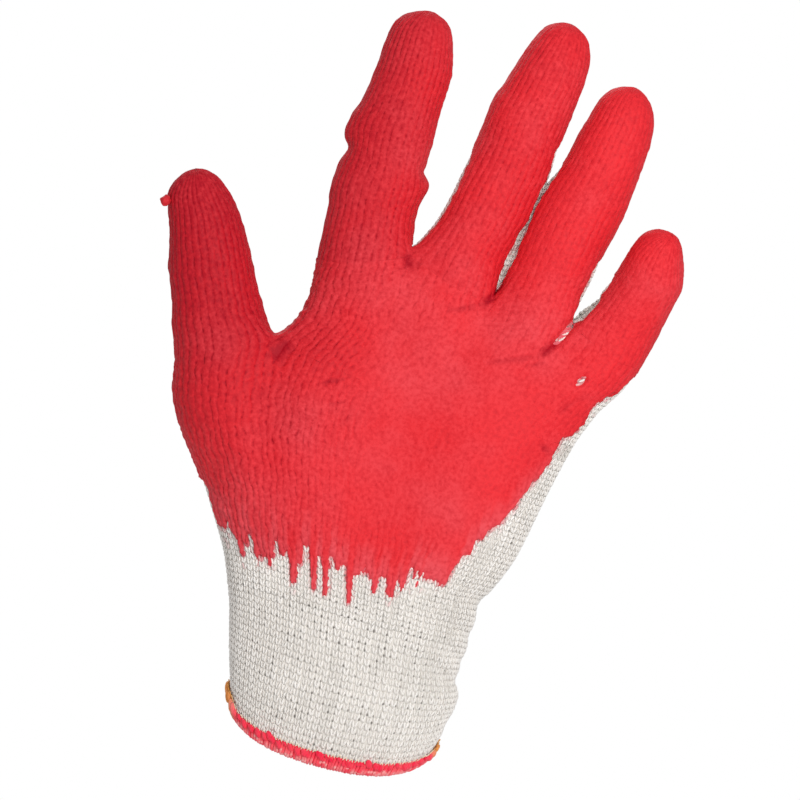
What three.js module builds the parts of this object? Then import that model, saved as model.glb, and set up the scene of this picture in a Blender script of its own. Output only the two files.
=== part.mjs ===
// A latex-coated work glove for the left hand, held as it is worn: the wrist opening is at the origin,
// +Z runs from the wrist to the fingertips, the palm faces -Y and the thumb is on the -X side.
// The knit is one smooth skin of rings, cut where a knitting machine changes section.
// Lengths are in millimetres, and each table holds its lengths as shares of the sizes it names.
import * as THREE from 'three';

const REACH = 219.6;
const HAND_WIDTH = 92;
const HAND_DEPTH = 36;
const FINGER_DEPTH = 22;
const KNIT_THICKNESS = 1.6;
const COAT_THICKNESS = 0.8;
const COAT_CLEARANCE = 0.3;
const SECTION_GAP = 0.3;
const MOUTH_DIP = 7;
const MOUTH_LIFT = 2.2;
const MOUTH_SLANT = 0.03;
const CUPPING = 7;
const HEM_HEIGHT = 4.6;
const HEM_THICKNESS = 1.2;
const YARN_END_LENGTH = 2.8;
const YARN_END_WIDTH = 3.4;

// The hand's sections from the wrist opening up. up is a share of REACH, the two sides are shares of
// HAND_WIDTH from the hand's axis, deep is a share of HAND_DEPTH, and square rounds or squares the section.
const HAND_SECTIONS = [
  { up: 0.000, thumbSide: 0.338, littleSide: 0.312, deep: 1.12, square: 2.1 },
  { up: 0.032, thumbSide: 0.364, littleSide: 0.334, deep: 1.13, square: 2.1 },
  { up: 0.064, thumbSide: 0.388, littleSide: 0.346, deep: 1.13, square: 2.1 },
  { up: 0.096, thumbSide: 0.410, littleSide: 0.350, deep: 1.12, square: 2.1 },
  { up: 0.128, thumbSide: 0.430, littleSide: 0.332, deep: 1.10, square: 2.15 },
  { up: 0.160, thumbSide: 0.459, littleSide: 0.334, deep: 1.08, square: 2.2 },
  { up: 0.196, thumbSide: 0.496, littleSide: 0.336, deep: 1.05, square: 2.25 },
  { up: 0.232, thumbSide: 0.548, littleSide: 0.350, deep: 1.03, square: 2.3 },
  { up: 0.268, thumbSide: 0.602, littleSide: 0.384, deep: 1.01, square: 2.35 },
  { up: 0.304, thumbSide: 0.656, littleSide: 0.410, deep: 1.00, square: 2.4 },
  { up: 0.340, thumbSide: 0.712, littleSide: 0.424, deep: 0.99, square: 2.4 },
  { up: 0.376, thumbSide: 0.757, littleSide: 0.440, deep: 0.97, square: 2.4 },
  { up: 0.412, thumbSide: 0.788, littleSide: 0.456, deep: 0.95, square: 2.4 },
];
const CUFF_SECTION_COUNT = 6;

// Above the thumb: the palm narrows to the four finger roots.
const PALM_SECTIONS = [
  { toRoots: 0.24, thumbSide: 0.474, littleSide: 0.505 },
  { toRoots: 0.48, thumbSide: 0.451, littleSide: 0.536 },
  { toRoots: 0.72, thumbSide: 0.450, littleSide: 0.584 },
];

// The places where the outline forks, as shares of HAND_WIDTH and REACH.
const THUMB_OUTER = { across: -0.800, up: 0.424 };
const THUMB_CROTCH = { across: -0.530, up: 0.486 };
const PALM_EDGE = { across: 0.482, up: 0.458 };
const FINGER_FORKS = [
  { across: -0.460, up: 0.604 },
  { across: -0.186, up: 0.652 },
  { across: 0.108, up: 0.614 },
  { across: 0.376, up: 0.622 },
  { across: 0.613, up: 0.583 },
];

// Each digit runs from base to tip, and its width is a share of HAND_WIDTH. Its sections give the place
// along it and how far it reaches to each side (shares of that width) and in depth (of FINGER_DEPTH).
const DIGITS = [
  {
    name: 'thumb', width: 0.272, deep: 1.08, base: { across: -0.672, up: 0.449, forward: 0.16 },
    tip: { across: -0.903, up: 0.669 }, curl: 0.34,
    sections: [
      { at: 0.17, left: 0.505, right: 0.540, deep: 0.52 },
      { at: 0.27, left: 0.474, right: 0.496, deep: 0.49 },
      { at: 0.38, left: 0.455, right: 0.472, deep: 0.48 },
      { at: 0.49, left: 0.446, right: 0.462, deep: 0.47 },
      { at: 0.60, left: 0.405, right: 0.440, deep: 0.46 },
      { at: 0.71, left: 0.370, right: 0.410, deep: 0.43 },
      { at: 0.81, left: 0.345, right: 0.358, deep: 0.38 },
      { at: 0.89, left: 0.332, right: 0.290, deep: 0.31 },
      { at: 0.95, left: 0.246, right: 0.205, deep: 0.22 },
      { at: 0.985, left: 0.125, right: 0.110, deep: 0.12 },
    ],
  },
  {
    name: 'index_finger', width: 0.272, deep: 1, base: { across: -0.326, up: 0.628, forward: 0 },
    tip: { across: -0.333, up: 0.961 }, curl: 0.12,
    sections: [
      { at: 0.13, left: 0.520, right: 0.470, deep: 0.50 },
      { at: 0.22, left: 0.556, right: 0.430, deep: 0.50 },
      { at: 0.31, left: 0.546, right: 0.462, deep: 0.49 },
      { at: 0.40, left: 0.512, right: 0.394, deep: 0.47 },
      { at: 0.49, left: 0.562, right: 0.398, deep: 0.48 },
      { at: 0.58, left: 0.488, right: 0.386, deep: 0.47 },
      { at: 0.68, left: 0.436, right: 0.388, deep: 0.45 },
      { at: 0.78, left: 0.410, right: 0.398, deep: 0.43 },
      { at: 0.87, left: 0.388, right: 0.342, deep: 0.38 },
      { at: 0.94, left: 0.322, right: 0.270, deep: 0.28 },
      { at: 0.98, left: 0.180, right: 0.160, deep: 0.16 },
    ],
  },
  {
    name: 'middle_finger', width: 0.272, deep: 1, base: { across: -0.039, up: 0.634, forward: 0 },
    tip: { across: 0.108, up: 0.996 }, curl: 0.15,
    sections: [
      { at: 0.12, left: 0.452, right: 0.490, deep: 0.50 },
      { at: 0.21, left: 0.408, right: 0.518, deep: 0.50 },
      { at: 0.31, left: 0.400, right: 0.522, deep: 0.49 },
      { at: 0.41, left: 0.398, right: 0.522, deep: 0.47 },
      { at: 0.50, left: 0.398, right: 0.512, deep: 0.46 },
      { at: 0.59, left: 0.414, right: 0.460, deep: 0.45 },
      { at: 0.69, left: 0.392, right: 0.440, deep: 0.44 },
      { at: 0.79, left: 0.362, right: 0.412, deep: 0.42 },
      { at: 0.88, left: 0.315, right: 0.375, deep: 0.36 },
      { at: 0.945, left: 0.255, right: 0.300, deep: 0.26 },
      { at: 0.983, left: 0.140, right: 0.180, deep: 0.15 },
    ],
  },
  {
    name: 'ring_finger', width: 0.261, deep: 1, base: { across: 0.243, up: 0.620, forward: 0 },
    tip: { across: 0.360, up: 0.937 }, curl: 0.2,
    sections: [
      { at: 0.13, left: 0.484, right: 0.474, deep: 0.50 },
      { at: 0.22, left: 0.500, right: 0.482, deep: 0.50 },
      { at: 0.32, left: 0.504, right: 0.464, deep: 0.49 },
      { at: 0.42, left: 0.500, right: 0.486, deep: 0.47 },
      { at: 0.52, left: 0.466, right: 0.488, deep: 0.46 },
      { at: 0.62, left: 0.386, right: 0.470, deep: 0.45 },
      { at: 0.72, left: 0.376, right: 0.448, deep: 0.43 },
      { at: 0.82, left: 0.342, right: 0.412, deep: 0.40 },
      { at: 0.90, left: 0.318, right: 0.352, deep: 0.33 },
      { at: 0.955, left: 0.236, right: 0.248, deep: 0.24 },
      { at: 0.985, left: 0.120, right: 0.130, deep: 0.14 },
    ],
  },
  {
    name: 'little_finger', width: 0.25, deep: 0.94, base: { across: 0.457, up: 0.565, forward: 0 },
    tip: { across: 0.592, up: 0.757 }, curl: 0.62,
    sections: [
      { at: 0.37, left: 0.386, right: 0.528, deep: 0.51 },
      { at: 0.47, left: 0.346, right: 0.504, deep: 0.51 },
      { at: 0.57, left: 0.316, right: 0.484, deep: 0.50 },
      { at: 0.67, left: 0.310, right: 0.462, deep: 0.48 },
      { at: 0.76, left: 0.316, right: 0.440, deep: 0.45 },
      { at: 0.84, left: 0.322, right: 0.350, deep: 0.40 },
      { at: 0.91, left: 0.300, right: 0.246, deep: 0.32 },
      { at: 0.965, left: 0.220, right: 0.150, deep: 0.21 },
      { at: 0.99, left: 0.110, right: 0.075, deep: 0.11 },
    ],
  },
];

// Pads and hollows of the palm: places and spreads are shares of HAND_WIDTH, rise of HAND_DEPTH.
const PALM_PADS = [
  { across: -0.44, up: 0.86, wide: 0.24, tall: 0.34, rise: 0.12 },
  { across: 0.22, up: 0.66, wide: 0.20, tall: 0.34, rise: 0.08 },
  { across: 0.06, up: 1.38, wide: 0.50, tall: 0.13, rise: 0.05 },
  { across: -0.08, up: 1.02, wide: 0.22, tall: 0.30, rise: -0.10 },
];

// The coat's lower edge across the palm, as shares of HAND_WIDTH.
const COAT_EDGE = [
  { across: -1.00, up: 0.66 },
  { across: -0.60, up: 0.58 },
  { across: -0.43, up: 0.48 },
  { across: -0.23, up: 0.425 },
  { across: -0.08, up: 0.455 },
  { across: 0.08, up: 0.51 },
  { across: 0.21, up: 0.59 },
  { across: 0.32, up: 0.84 },
  { across: 0.41, up: 1.06 },
  { across: 0.60, up: 1.26 },
];

// Where the coat stops short of a side and the knit shows. place is a share of REACH on the hand and
// of the digit's length on a digit, and short is counted in ring points.
const BARE_SIDES = [
  { on: 'hand', side: 'right', from: 0.15, to: 0.60, short: 0.9 },
  { on: 'middle_finger', side: 'left', from: 0, to: 0.46, short: 0.7 },
  { on: 'middle_finger', side: 'right', from: 0, to: 0.6, short: 0.9 },
  { on: 'ring_finger', side: 'left', from: 0, to: 0.6, short: 0.9 },
  { on: 'ring_finger', side: 'right', from: 0, to: 0.3, short: 0.7 },
  { on: 'little_finger', side: 'left', from: 0, to: 0.5, short: 0.6 },
];
const WRAPPED_TIP = 0.86;

// Where the knot of yarn sits on the thumb: a share of its length, and degrees from its side to the front.
// Its profile is turned round its own axis: up is a share of its length, out of half its width.
const YARN_END_SEAT = { at: 0.87, turned: 25 };
const YARN_END_LEAN = 0.2;
const YARN_END_SIDE_COUNT = 10;
const YARN_END_PROFILE = [
  { up: 0, out: 0 },
  { up: 0.02, out: 0.74 },
  { up: 0.25, out: 0.96 },
  { up: 0.5, out: 1 },
  { up: 0.8, out: 0.74 },
  { up: 1, out: 0 },
];

// How the hand's rings are counted: a front and a back of equal count, with two points at each side.
const HAND_RING_COUNT = 46;
const PALM_RING_COUNT = 38;
const DIGIT_RING_COUNT = 14;
const DIGIT_FRONT_COUNT = (DIGIT_RING_COUNT - 4) / 2;
const SIDE_START = 1.5;
const AXIS_STEP = 0.02;

// How round or square the sections are where the digits leave and along them, as in HAND_SECTIONS.
const DIGIT_SQUARE = 2.1;
const ROOT_SQUARE = 2.2;
const PALM_SQUARE = 2.5;

// The roots of the digits: half depths as shares of FINGER_DEPTH and HAND_DEPTH, and how deep a fork dips.
const THUMB_ROOT_DEEP = 0.62;
const FINGER_ROOT_DEEP = 0.56;
const PALM_DEEP_AT_THUMB = 0.47;
const FORK_DROP_SHARE = 0.16;

// How the rings lean towards the thumb's row: from which share of REACH, and by which power curves.
const LEAN_START = 0.268;
const LEAN_CURVE = 1.25;
const CROTCH_CURVE = 1.6;
const MOUTH_REACH = 0.12;

// How far the forks are eased towards their neighbours, in the palm's plane and in depth.
const EASE_PASS_COUNT = 2;
const EASE_ACROSS = 0.1;
const EASE_DEPTH = 0.4;

// Where the palm's front begins, as a share of HAND_DEPTH, and where the cupping sets in, as shares of REACH.
const FRONT_SHARE = 0.4;
const CUPPING_FROM = 0.1;
const CUPPING_TO = 0.4;

// The coat's side edge: one ring step as a share of the mean step, and the smallest cut through a triangle.
const SIDE_STEP_SHARE = 0.8;
const CUT_SHARE_LEAST = 0.06;

// One closed section with its points evenly spaced, from the thumb side across the palm and back.
function evenSection(count, left, right, deep, square) {
  const fineSteps = 720;
  const outline = [];
  for (let step = 0; step <= fineSteps; step += 1) {
    const turn = (step / fineSteps) * Math.PI * 2;
    const across = Math.sign(Math.cos(turn)) * Math.abs(Math.cos(turn)) ** (2 / square);
    const forward = Math.sign(Math.sin(turn)) * Math.abs(Math.sin(turn)) ** (2 / square);
    outline.push(new THREE.Vector2(-across * (across > 0 ? left : right), -forward * deep));
  }
  const travelled = [0];
  for (let step = 1; step <= fineSteps; step += 1) {
    travelled.push(travelled[step - 1] + outline[step].distanceTo(outline[step - 1]));
  }
  const points = [];
  for (let index = 0; index < count; index += 1) {
    const wanted = (((index + SIDE_START) / count) % 1) * travelled[fineSteps];
    let step = 1;
    while (travelled[step] < wanted) {
      step += 1;
    }
    const part = (wanted - travelled[step - 1]) / (travelled[step] - travelled[step - 1]);
    points.push(outline[step - 1].clone().lerp(outline[step], part));
  }
  return points;
}

// How many steps a ring's point lies from the nearer side of the glove, positive on the palm's half.
function stepsFromSide(index, count) {
  const place = (index + SIDE_START) % count;
  const half = count / 2;
  return place < half ? Math.min(place, half - place) : -Math.min(place - half, count - place);
}

// How many steps the coat reaches past a ring's point, towards the back of the glove.
function coatSteps(index, count, on, at) {
  if (on !== 'hand' && at > WRAPPED_TIP) {
    return count;
  }
  const turn = ((index + SIDE_START) % count) / count;
  const side = turn < 0.25 || turn > 0.75 ? 'left' : 'right';
  const bare = BARE_SIDES.find((row) => row.on === on && row.side === side && at >= row.from && at <= row.to);
  return stepsFromSide(index, count) - (bare ? bare.short : 0);
}

const skin = [];
const coatReach = [];

function addPoint(point, reach) {
  skin.push(point);
  coatReach.push(reach);
  return skin.length - 1;
}

function addRing(points, on, at) {
  return points.map((point, index) => addPoint(point, coatSteps(index, points.length, on, at)));
}

function interpolateColumn(rows, key, value, column) {
  const next = rows.findIndex((row) => row[key] >= value);
  if (next === -1) {
    return rows[rows.length - 1][column];
  }
  if (next === 0) {
    return rows[0][column];
  }
  const before = rows[next - 1];
  const after = rows[next];
  const part = (value - before[key]) / (after[key] - before[key]);
  return before[column] + (after[column] - before[column]) * part;
}

function forkPoint(fork) {
  return new THREE.Vector3(fork.across * HAND_WIDTH, 0, fork.up * REACH);
}

// The ring where a digit leaves the hand, between two forks of the outline.
function rootSection(from, to, deep, saddleDrop) {
  const start = forkPoint(from);
  const end = forkPoint(to);
  const middle = start.clone().lerp(end, 0.5);
  const across = end.clone().sub(start).normalize();
  const halfWidth = start.distanceTo(end) / 2;
  return evenSection(DIGIT_RING_COUNT, halfWidth, halfWidth, deep, ROOT_SQUARE).map((point) => {
    const place = middle.clone().addScaledVector(across, point.x);
    place.y += point.y;
    place.z -= saddleDrop * (point.y / deep) ** 2;
    return place;
  });
}

const FORK_DROP = FORK_DROP_SHARE * FINGER_DEPTH;
const thumb = DIGITS[0];
const fingers = DIGITS.slice(1);
const last = HAND_RING_COUNT - 1;

// The row where the thumb leaves: its root ring on one side, the palm's section on the other.
const thumbRoot = rootSection(THUMB_OUTER, THUMB_CROTCH, FINGER_DEPTH * THUMB_ROOT_DEEP, 0);
thumbRoot.forEach((point) => {
  point.y -= thumb.base.forward * FINGER_DEPTH;
});
const palmAtThumb = evenSection(
  PALM_RING_COUNT,
  -THUMB_CROTCH.across * HAND_WIDTH,
  PALM_EDGE.across * HAND_WIDTH,
  HAND_DEPTH * PALM_DEEP_AT_THUMB,
  PALM_SQUARE,
).map((point) => {
  const towardsThumb = Math.max(0, point.x / (THUMB_CROTCH.across * HAND_WIDTH)) ** CROTCH_CURVE;
  const rise = (THUMB_CROTCH.up - PALM_EDGE.up) * REACH * towardsThumb;
  return new THREE.Vector3(point.x, point.y, PALM_EDGE.up * REACH + rise);
});

function meanPoint(first, second) {
  return first.clone().lerp(second, 0.5);
}

// Point numbers shared by the rings, from the front of the fork across to the back.
const DIGIT_FORK = [DIGIT_FRONT_COUNT - 1, DIGIT_FRONT_COUNT, DIGIT_FRONT_COUNT + 1, DIGIT_FRONT_COUNT + 2];
const DIGIT_OTHER_FORK = [0, DIGIT_RING_COUNT - 1, DIGIT_RING_COUNT - 2, DIGIT_RING_COUNT - 3];
const PALM_OTHER_FORK = [0, PALM_RING_COUNT - 1, PALM_RING_COUNT - 2, PALM_RING_COUNT - 3];

const thumbRow = [];
for (let index = 0; index < HAND_RING_COUNT; index += 1) {
  const onThumbFront = index < DIGIT_FRONT_COUNT;
  const onThumbBack = index > last - 2 - DIGIT_FRONT_COUNT;
  const thumbIndex = onThumbBack ? DIGIT_RING_COUNT - (HAND_RING_COUNT - index) : index;
  const palmIndex = index - (DIGIT_FRONT_COUNT - 1);
  if (index === DIGIT_FRONT_COUNT - 1) {
    thumbRow.push(meanPoint(thumbRoot[DIGIT_FORK[0]], palmAtThumb[0]));
  } else if (index === last - 1 - DIGIT_FRONT_COUNT) {
    thumbRow.push(meanPoint(thumbRoot[DIGIT_FORK[3]], palmAtThumb[PALM_RING_COUNT - 3]));
  } else {
    thumbRow.push((onThumbFront || onThumbBack ? thumbRoot[thumbIndex] : palmAtThumb[palmIndex]).clone());
  }
}

// The hand's rings below the thumb lean gradually towards that row.
const bands = [];
const handRings = [];
const thumbRowUp = PALM_EDGE.up;
const rowLeft = Math.min(...thumbRow.map((point) => point.x));
const rowRight = Math.max(...thumbRow.map((point) => point.x));
for (const section of HAND_SECTIONS) {
  const left = section.thumbSide * HAND_WIDTH;
  const right = section.littleSide * HAND_WIDTH;
  const deep = (section.deep * HAND_DEPTH) / 2;
  const towardsRow = (section.up - LEAN_START) / (thumbRowUp - LEAN_START);
  const lean = THREE.MathUtils.clamp(towardsRow, 0, 1) ** LEAN_CURVE;
  const mouth = Math.max(0, 1 - section.up / MOUTH_REACH);
  const ring = evenSection(HAND_RING_COUNT, left, right, deep, section.square).map((point, index) => {
    const share = (point.x + left) / (left + right);
    const rowShare = (thumbRow[index].x - rowLeft) / (rowRight - rowLeft);
    const x = -left + (left + right) * (share + (rowShare - share) * lean);
    const y = point.y + (thumbRow[index].y - point.y) * lean;
    const tilt = (thumbRow[index].z - thumbRowUp * REACH) * lean;
    const lift = MOUTH_LIFT * (share * 2 - 1) ** 4 + MOUTH_SLANT * x;
    const dip = mouth * (MOUTH_DIP * (point.y / deep) + lift);
    return new THREE.Vector3(x, y, section.up * REACH + tilt + dip);
  });
  handRings.push(addRing(ring, 'hand', section.up));
}
const forkRing = addRing(thumbRow, 'hand', PALM_EDGE.up);
handRings.push(forkRing);
handRings.slice(1).forEach((ring, index) => {
  const onCuff = index + 1 < CUFF_SECTION_COUNT;
  bands.push({ node: onCuff ? 'knit_wrist_cuff' : 'knit_five_finger_body', rings: [handRings[index], ring] });
});

// The saddle points in the fork between the thumb and the palm.
const thumbSaddle = [1, 2].map((place) => addPoint(
  meanPoint(thumbRoot[DIGIT_FORK[place]], palmAtThumb[PALM_OTHER_FORK[place]]),
  stepsFromSide(DIGIT_FORK[place], DIGIT_RING_COUNT),
));
const thumbRing = [
  ...forkRing.slice(0, DIGIT_FRONT_COUNT),
  ...thumbSaddle,
  ...forkRing.slice(last - 1 - DIGIT_FRONT_COUNT),
];
const palmStart = [
  ...forkRing.slice(DIGIT_FRONT_COUNT - 1, last - DIGIT_FRONT_COUNT),
  thumbSaddle[1],
  thumbSaddle[0],
];

// The row where the four fingers leave, with two saddle points in each fork between them.
const fingerRoots = fingers.map((digit, index) => rootSection(
  FINGER_FORKS[index],
  FINGER_FORKS[index + 1],
  digit.deep * FINGER_DEPTH * FINGER_ROOT_DEEP,
  FORK_DROP,
));
const palmEnd = new Array(PALM_RING_COUNT);
const fingerRings = fingers.map(() => new Array(DIGIT_RING_COUNT));
fingers.forEach((digit, finger) => {
  const root = fingerRoots[finger];
  const step = DIGIT_FRONT_COUNT - 1;
  root.forEach((point, index) => {
    if (fingerRings[finger][index] !== undefined) {
      return;
    }
    const fork = DIGIT_FORK.indexOf(index);
    const shared = fork !== -1 && finger < fingers.length - 1;
    const place = shared ? meanPoint(point, fingerRoots[finger + 1][DIGIT_OTHER_FORK[fork]]) : point.clone();
    const added = addPoint(place, coatSteps(index, DIGIT_RING_COUNT, digit.name, 0));
    fingerRings[finger][index] = added;
    if (shared) {
      fingerRings[finger + 1][DIGIT_OTHER_FORK[fork]] = added;
    }
  });
  for (let index = 0; index < DIGIT_FRONT_COUNT; index += 1) {
    palmEnd[finger * step + index] = fingerRings[finger][index];
    palmEnd[PALM_RING_COUNT - 3 - (finger * step + index)] = fingerRings[finger][DIGIT_RING_COUNT - 3 - index];
  }
});
const lastFinger = fingerRings[fingers.length - 1];
palmEnd[(PALM_RING_COUNT - 4) / 2] = lastFinger[DIGIT_FORK[1]];
palmEnd[(PALM_RING_COUNT - 4) / 2 + 1] = lastFinger[DIGIT_FORK[2]];
palmEnd[PALM_RING_COUNT - 2] = fingerRings[0][DIGIT_RING_COUNT - 2];
palmEnd[PALM_RING_COUNT - 1] = fingerRings[0][DIGIT_RING_COUNT - 1];

// The palm's rings between those two rows.
const palmRings = [palmStart];
for (const section of PALM_SECTIONS) {
  const ring = palmStart.map((start, index) => skin[start].clone().lerp(skin[palmEnd[index]], section.toRoots));
  const left = Math.min(...ring.map((point) => point.x));
  const right = Math.max(...ring.map((point) => point.x));
  ring.forEach((point) => {
    const share = (point.x - left) / (right - left);
    point.x = (-section.thumbSide + (section.thumbSide + section.littleSide) * share) * HAND_WIDTH;
  });
  palmRings.push(addRing(ring, 'hand', PALM_EDGE.up));
}
palmRings.push(palmEnd);
for (let index = 1; index < palmRings.length; index += 1) {
  bands.push({ node: 'knit_four_finger_body', rings: [palmRings[index - 1], palmRings[index]] });
}

// The place and directions of a section of a digit, whose axis curls forward towards the tip.
function digitFrame(digit, at) {
  const base = forkPoint(digit.base);
  const along = forkPoint(digit.tip).sub(base);
  const onAxis = (share) => {
    const place = base.clone().addScaledVector(along, share);
    place.y -= (digit.base.forward + digit.curl * share * share) * FINGER_DEPTH;
    return place;
  };
  const direction = onAxis(at + AXIS_STEP).sub(onAxis(at - AXIS_STEP)).normalize();
  const side = new THREE.Vector3(along.z, 0, -along.x).normalize();
  const front = new THREE.Vector3().crossVectors(side, direction).normalize();
  return { centre: onAxis(at), direction, side, front };
}

// A digit's rings run from its root to the tip and close on a pole.
function addDigit(digit, rootRing) {
  const node = `knit_${digit.name}`;
  const width = digit.width * HAND_WIDTH;
  let previous = rootRing;
  for (const section of digit.sections) {
    const { centre, side, front } = digitFrame(digit, section.at);
    const deep = section.deep * digit.deep * FINGER_DEPTH;
    const points = evenSection(
      DIGIT_RING_COUNT,
      section.left * width,
      section.right * width,
      deep,
      DIGIT_SQUARE,
    ).map((point) => centre.clone().addScaledVector(side, point.x).addScaledVector(front, -point.y));
    const ring = addRing(points, digit.name, section.at);
    bands.push({ node, rings: [previous, ring] });
    previous = ring;
  }
  bands.push({ node, rings: [previous], pole: addPoint(digitFrame(digit, 1).centre, DIGIT_RING_COUNT) });
}
addDigit(thumb, thumbRing);
fingers.forEach((digit, index) => addDigit(digit, fingerRings[index]));

// The skin's triangles, with every diagonal running the same way round.
const triangles = [];
for (const band of bands) {
  const lower = band.rings[0];
  const upper = band.rings[1];
  lower.forEach((start, index) => {
    const next = lower[(index + 1) % lower.length];
    if (band.pole !== undefined) {
      triangles.push({ node: band.node, corners: [start, next, band.pole] });
      return;
    }
    const above = upper[index];
    const aboveNext = upper[(index + 1) % upper.length];
    triangles.push({ node: band.node, corners: [start, next, aboveNext] });
    triangles.push({ node: band.node, corners: [start, aboveNext, above] });
  });
}

// Neighbours of each point along the rings and columns, for smoothing.
function neighbourLists() {
  const lists = skin.map(() => new Set());
  const link = (first, second) => {
    lists[first].add(second);
    lists[second].add(first);
  };
  for (const band of bands) {
    band.rings.forEach((ring) => {
      ring.forEach((start, index) => link(start, ring[(index + 1) % ring.length]));
    });
    band.rings[0].forEach((start, index) => {
      link(start, band.pole === undefined ? band.rings[1][index] : band.pole);
    });
  }
  return lists;
}

// The forks are eased so that the hand flows into the digits.
const neighbours = neighbourLists();
const eased = new Set([...forkRing, ...thumbSaddle, ...palmEnd, ...fingerRings.flat()]);
palmRings.slice(1, -1).forEach((ring) => ring.forEach((point) => eased.add(point)));
handRings.slice(-3, -1).forEach((ring) => ring.forEach((point) => eased.add(point)));
for (let pass = 0; pass < EASE_PASS_COUNT; pass += 1) {
  const moved = [...eased].map((index) => {
    const mean = new THREE.Vector3();
    neighbours[index].forEach((other) => mean.add(skin[other]));
    mean.divideScalar(neighbours[index].size);
    return new THREE.Vector3(
      THREE.MathUtils.lerp(skin[index].x, mean.x, EASE_ACROSS),
      THREE.MathUtils.lerp(skin[index].y, mean.y, EASE_DEPTH),
      THREE.MathUtils.lerp(skin[index].z, mean.z, EASE_ACROSS),
    );
  });
  [...eased].forEach((index, place) => skin[index].copy(moved[place]));
}

// The palm's pads, and the cupping that brings the thumb and little-finger sides forward.
function shapePalm(point) {
  const front = THREE.MathUtils.clamp(-point.y / (HAND_DEPTH * FRONT_SHARE), 0, 1);
  for (const pad of PALM_PADS) {
    const across = (point.x / HAND_WIDTH - pad.across) / pad.wide;
    const up = (point.z / HAND_WIDTH - pad.up) / pad.tall;
    point.y -= pad.rise * HAND_DEPTH * front * Math.exp(-(across * across) - up * up);
  }
  const fromMiddle = point.x / HAND_WIDTH;
  const aboveCuff = THREE.MathUtils.smoothstep(point.z, REACH * CUPPING_FROM, REACH * CUPPING_TO);
  point.y -= CUPPING * fromMiddle * fromMiddle * aboveCuff;
}
skin.forEach(shapePalm);

// Outward direction at each point of the skin.
const outward = skin.map(() => new THREE.Vector3());
for (const { corners } of triangles) {
  const [a, b, c] = corners.map((index) => skin[index]);
  const face = b.clone().sub(a).cross(c.clone().sub(a));
  corners.forEach((index) => outward[index].add(face));
}
outward.forEach((direction) => direction.normalize());

function meshFrom(name, positions, faces, material) {
  const geometry = new THREE.BufferGeometry();
  geometry.setAttribute('position', new THREE.Float32BufferAttribute(positions.flatMap((p) => [p.x, p.y, p.z]), 3));
  geometry.setIndex(faces.flat());
  geometry.computeVertexNormals();
  const mesh = new THREE.Mesh(geometry, material);
  mesh.name = name;
  return mesh;
}

// Edges that belong to one triangle only, in that triangle's direction.
function rimEdges(faces) {
  const seen = new Set(faces.flatMap(([a, b, c]) => [`${a} ${b}`, `${b} ${c}`, `${c} ${a}`]));
  const rim = [];
  for (const [a, b, c] of faces) {
    for (const [start, end] of [[a, b], [b, c], [c, a]]) {
      if (!seen.has(`${end} ${start}`)) {
        rim.push([start, end]);
      }
    }
  }
  return rim;
}

// A wall between two offsets from a patch of skin, closed along the patch's rim.
function wall(name, points, directions, faces, inner, outer, material) {
  const used = [...new Set(faces.flat())];
  const place = new Map(used.map((index, order) => [index, order]));
  const count = used.length;
  const positions = [outer, inner].flatMap((offset) => (
    used.map((index) => points[index].clone().addScaledVector(directions[index], offset))
  ));
  const outside = faces.map((corners) => corners.map((index) => place.get(index)));
  const inside = outside.map(([a, b, c]) => [c + count, b + count, a + count]);
  const rim = rimEdges(outside).flatMap(([a, b]) => [[b, a, a + count], [b, a + count, b + count]]);
  return meshFrom(name, positions, [...outside, ...inside, ...rim], material);
}

// A knitted section is drawn back a little from the rims that it shares with its neighbours.
const mouthPoints = new Set(handRings[0]);

function knitSection(name, material) {
  const faces = triangles.filter((triangle) => triangle.node === name).map((triangle) => triangle.corners);
  const onRim = new Set(rimEdges(faces).flat());
  const owned = new Set(faces.flat());
  const points = skin.map((point, index) => {
    if (!onRim.has(index) || mouthPoints.has(index)) {
      return point;
    }
    const within = [...neighbours[index]].filter((other) => owned.has(other) && !onRim.has(other));
    const inwards = new THREE.Vector3();
    within.forEach((other) => inwards.add(skin[other]));
    inwards.divideScalar(within.length).sub(point).normalize();
    return point.clone().addScaledVector(inwards, SECTION_GAP / 2);
  });
  return wall(name, points, outward, faces, -KNIT_THICKNESS, 0, material);
}

// The coat covers the skin where its reach past the sides and above its lower edge is positive.
function coatPatch() {
  const stepWidth = (HAND_WIDTH * Math.PI) / HAND_RING_COUNT * SIDE_STEP_SHARE;
  const field = skin.map((point, index) => {
    const edgeUp = interpolateColumn(COAT_EDGE, 'across', point.x / HAND_WIDTH, 'up') * HAND_WIDTH;
    return Math.min(coatReach[index] * stepWidth, point.z - edgeUp);
  });
  const points = [...skin];
  const directions = [...outward];
  const cuts = new Map();
  const cut = (inside, outside) => {
    const key = `${inside} ${outside}`;
    if (!cuts.has(key)) {
      const crossing = field[inside] / (field[inside] - field[outside]);
      const share = THREE.MathUtils.clamp(crossing, CUT_SHARE_LEAST, 1 - CUT_SHARE_LEAST);
      points.push(skin[inside].clone().lerp(skin[outside], share));
      directions.push(outward[inside].clone().lerp(outward[outside], share).normalize());
      cuts.set(key, points.length - 1);
    }
    return cuts.get(key);
  };
  const faces = [];
  for (const { corners } of triangles) {
    const inside = corners.map((index) => field[index] > 0);
    const covered = inside.filter(Boolean).length;
    if (covered === 3) {
      faces.push(corners);
    } else if (covered === 1) {
      const first = inside.indexOf(true);
      const [a, b, c] = [0, 1, 2].map((turn) => corners[(first + turn) % 3]);
      faces.push([a, cut(a, b), cut(a, c)]);
    } else if (covered === 2) {
      const first = inside.indexOf(false);
      const [a, b, c] = [0, 1, 2].map((turn) => corners[(first + turn) % 3]);
      faces.push([cut(b, a), b, c], [cut(b, a), c, cut(c, a)]);
    }
  }
  return { points, directions, faces };
}

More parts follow.
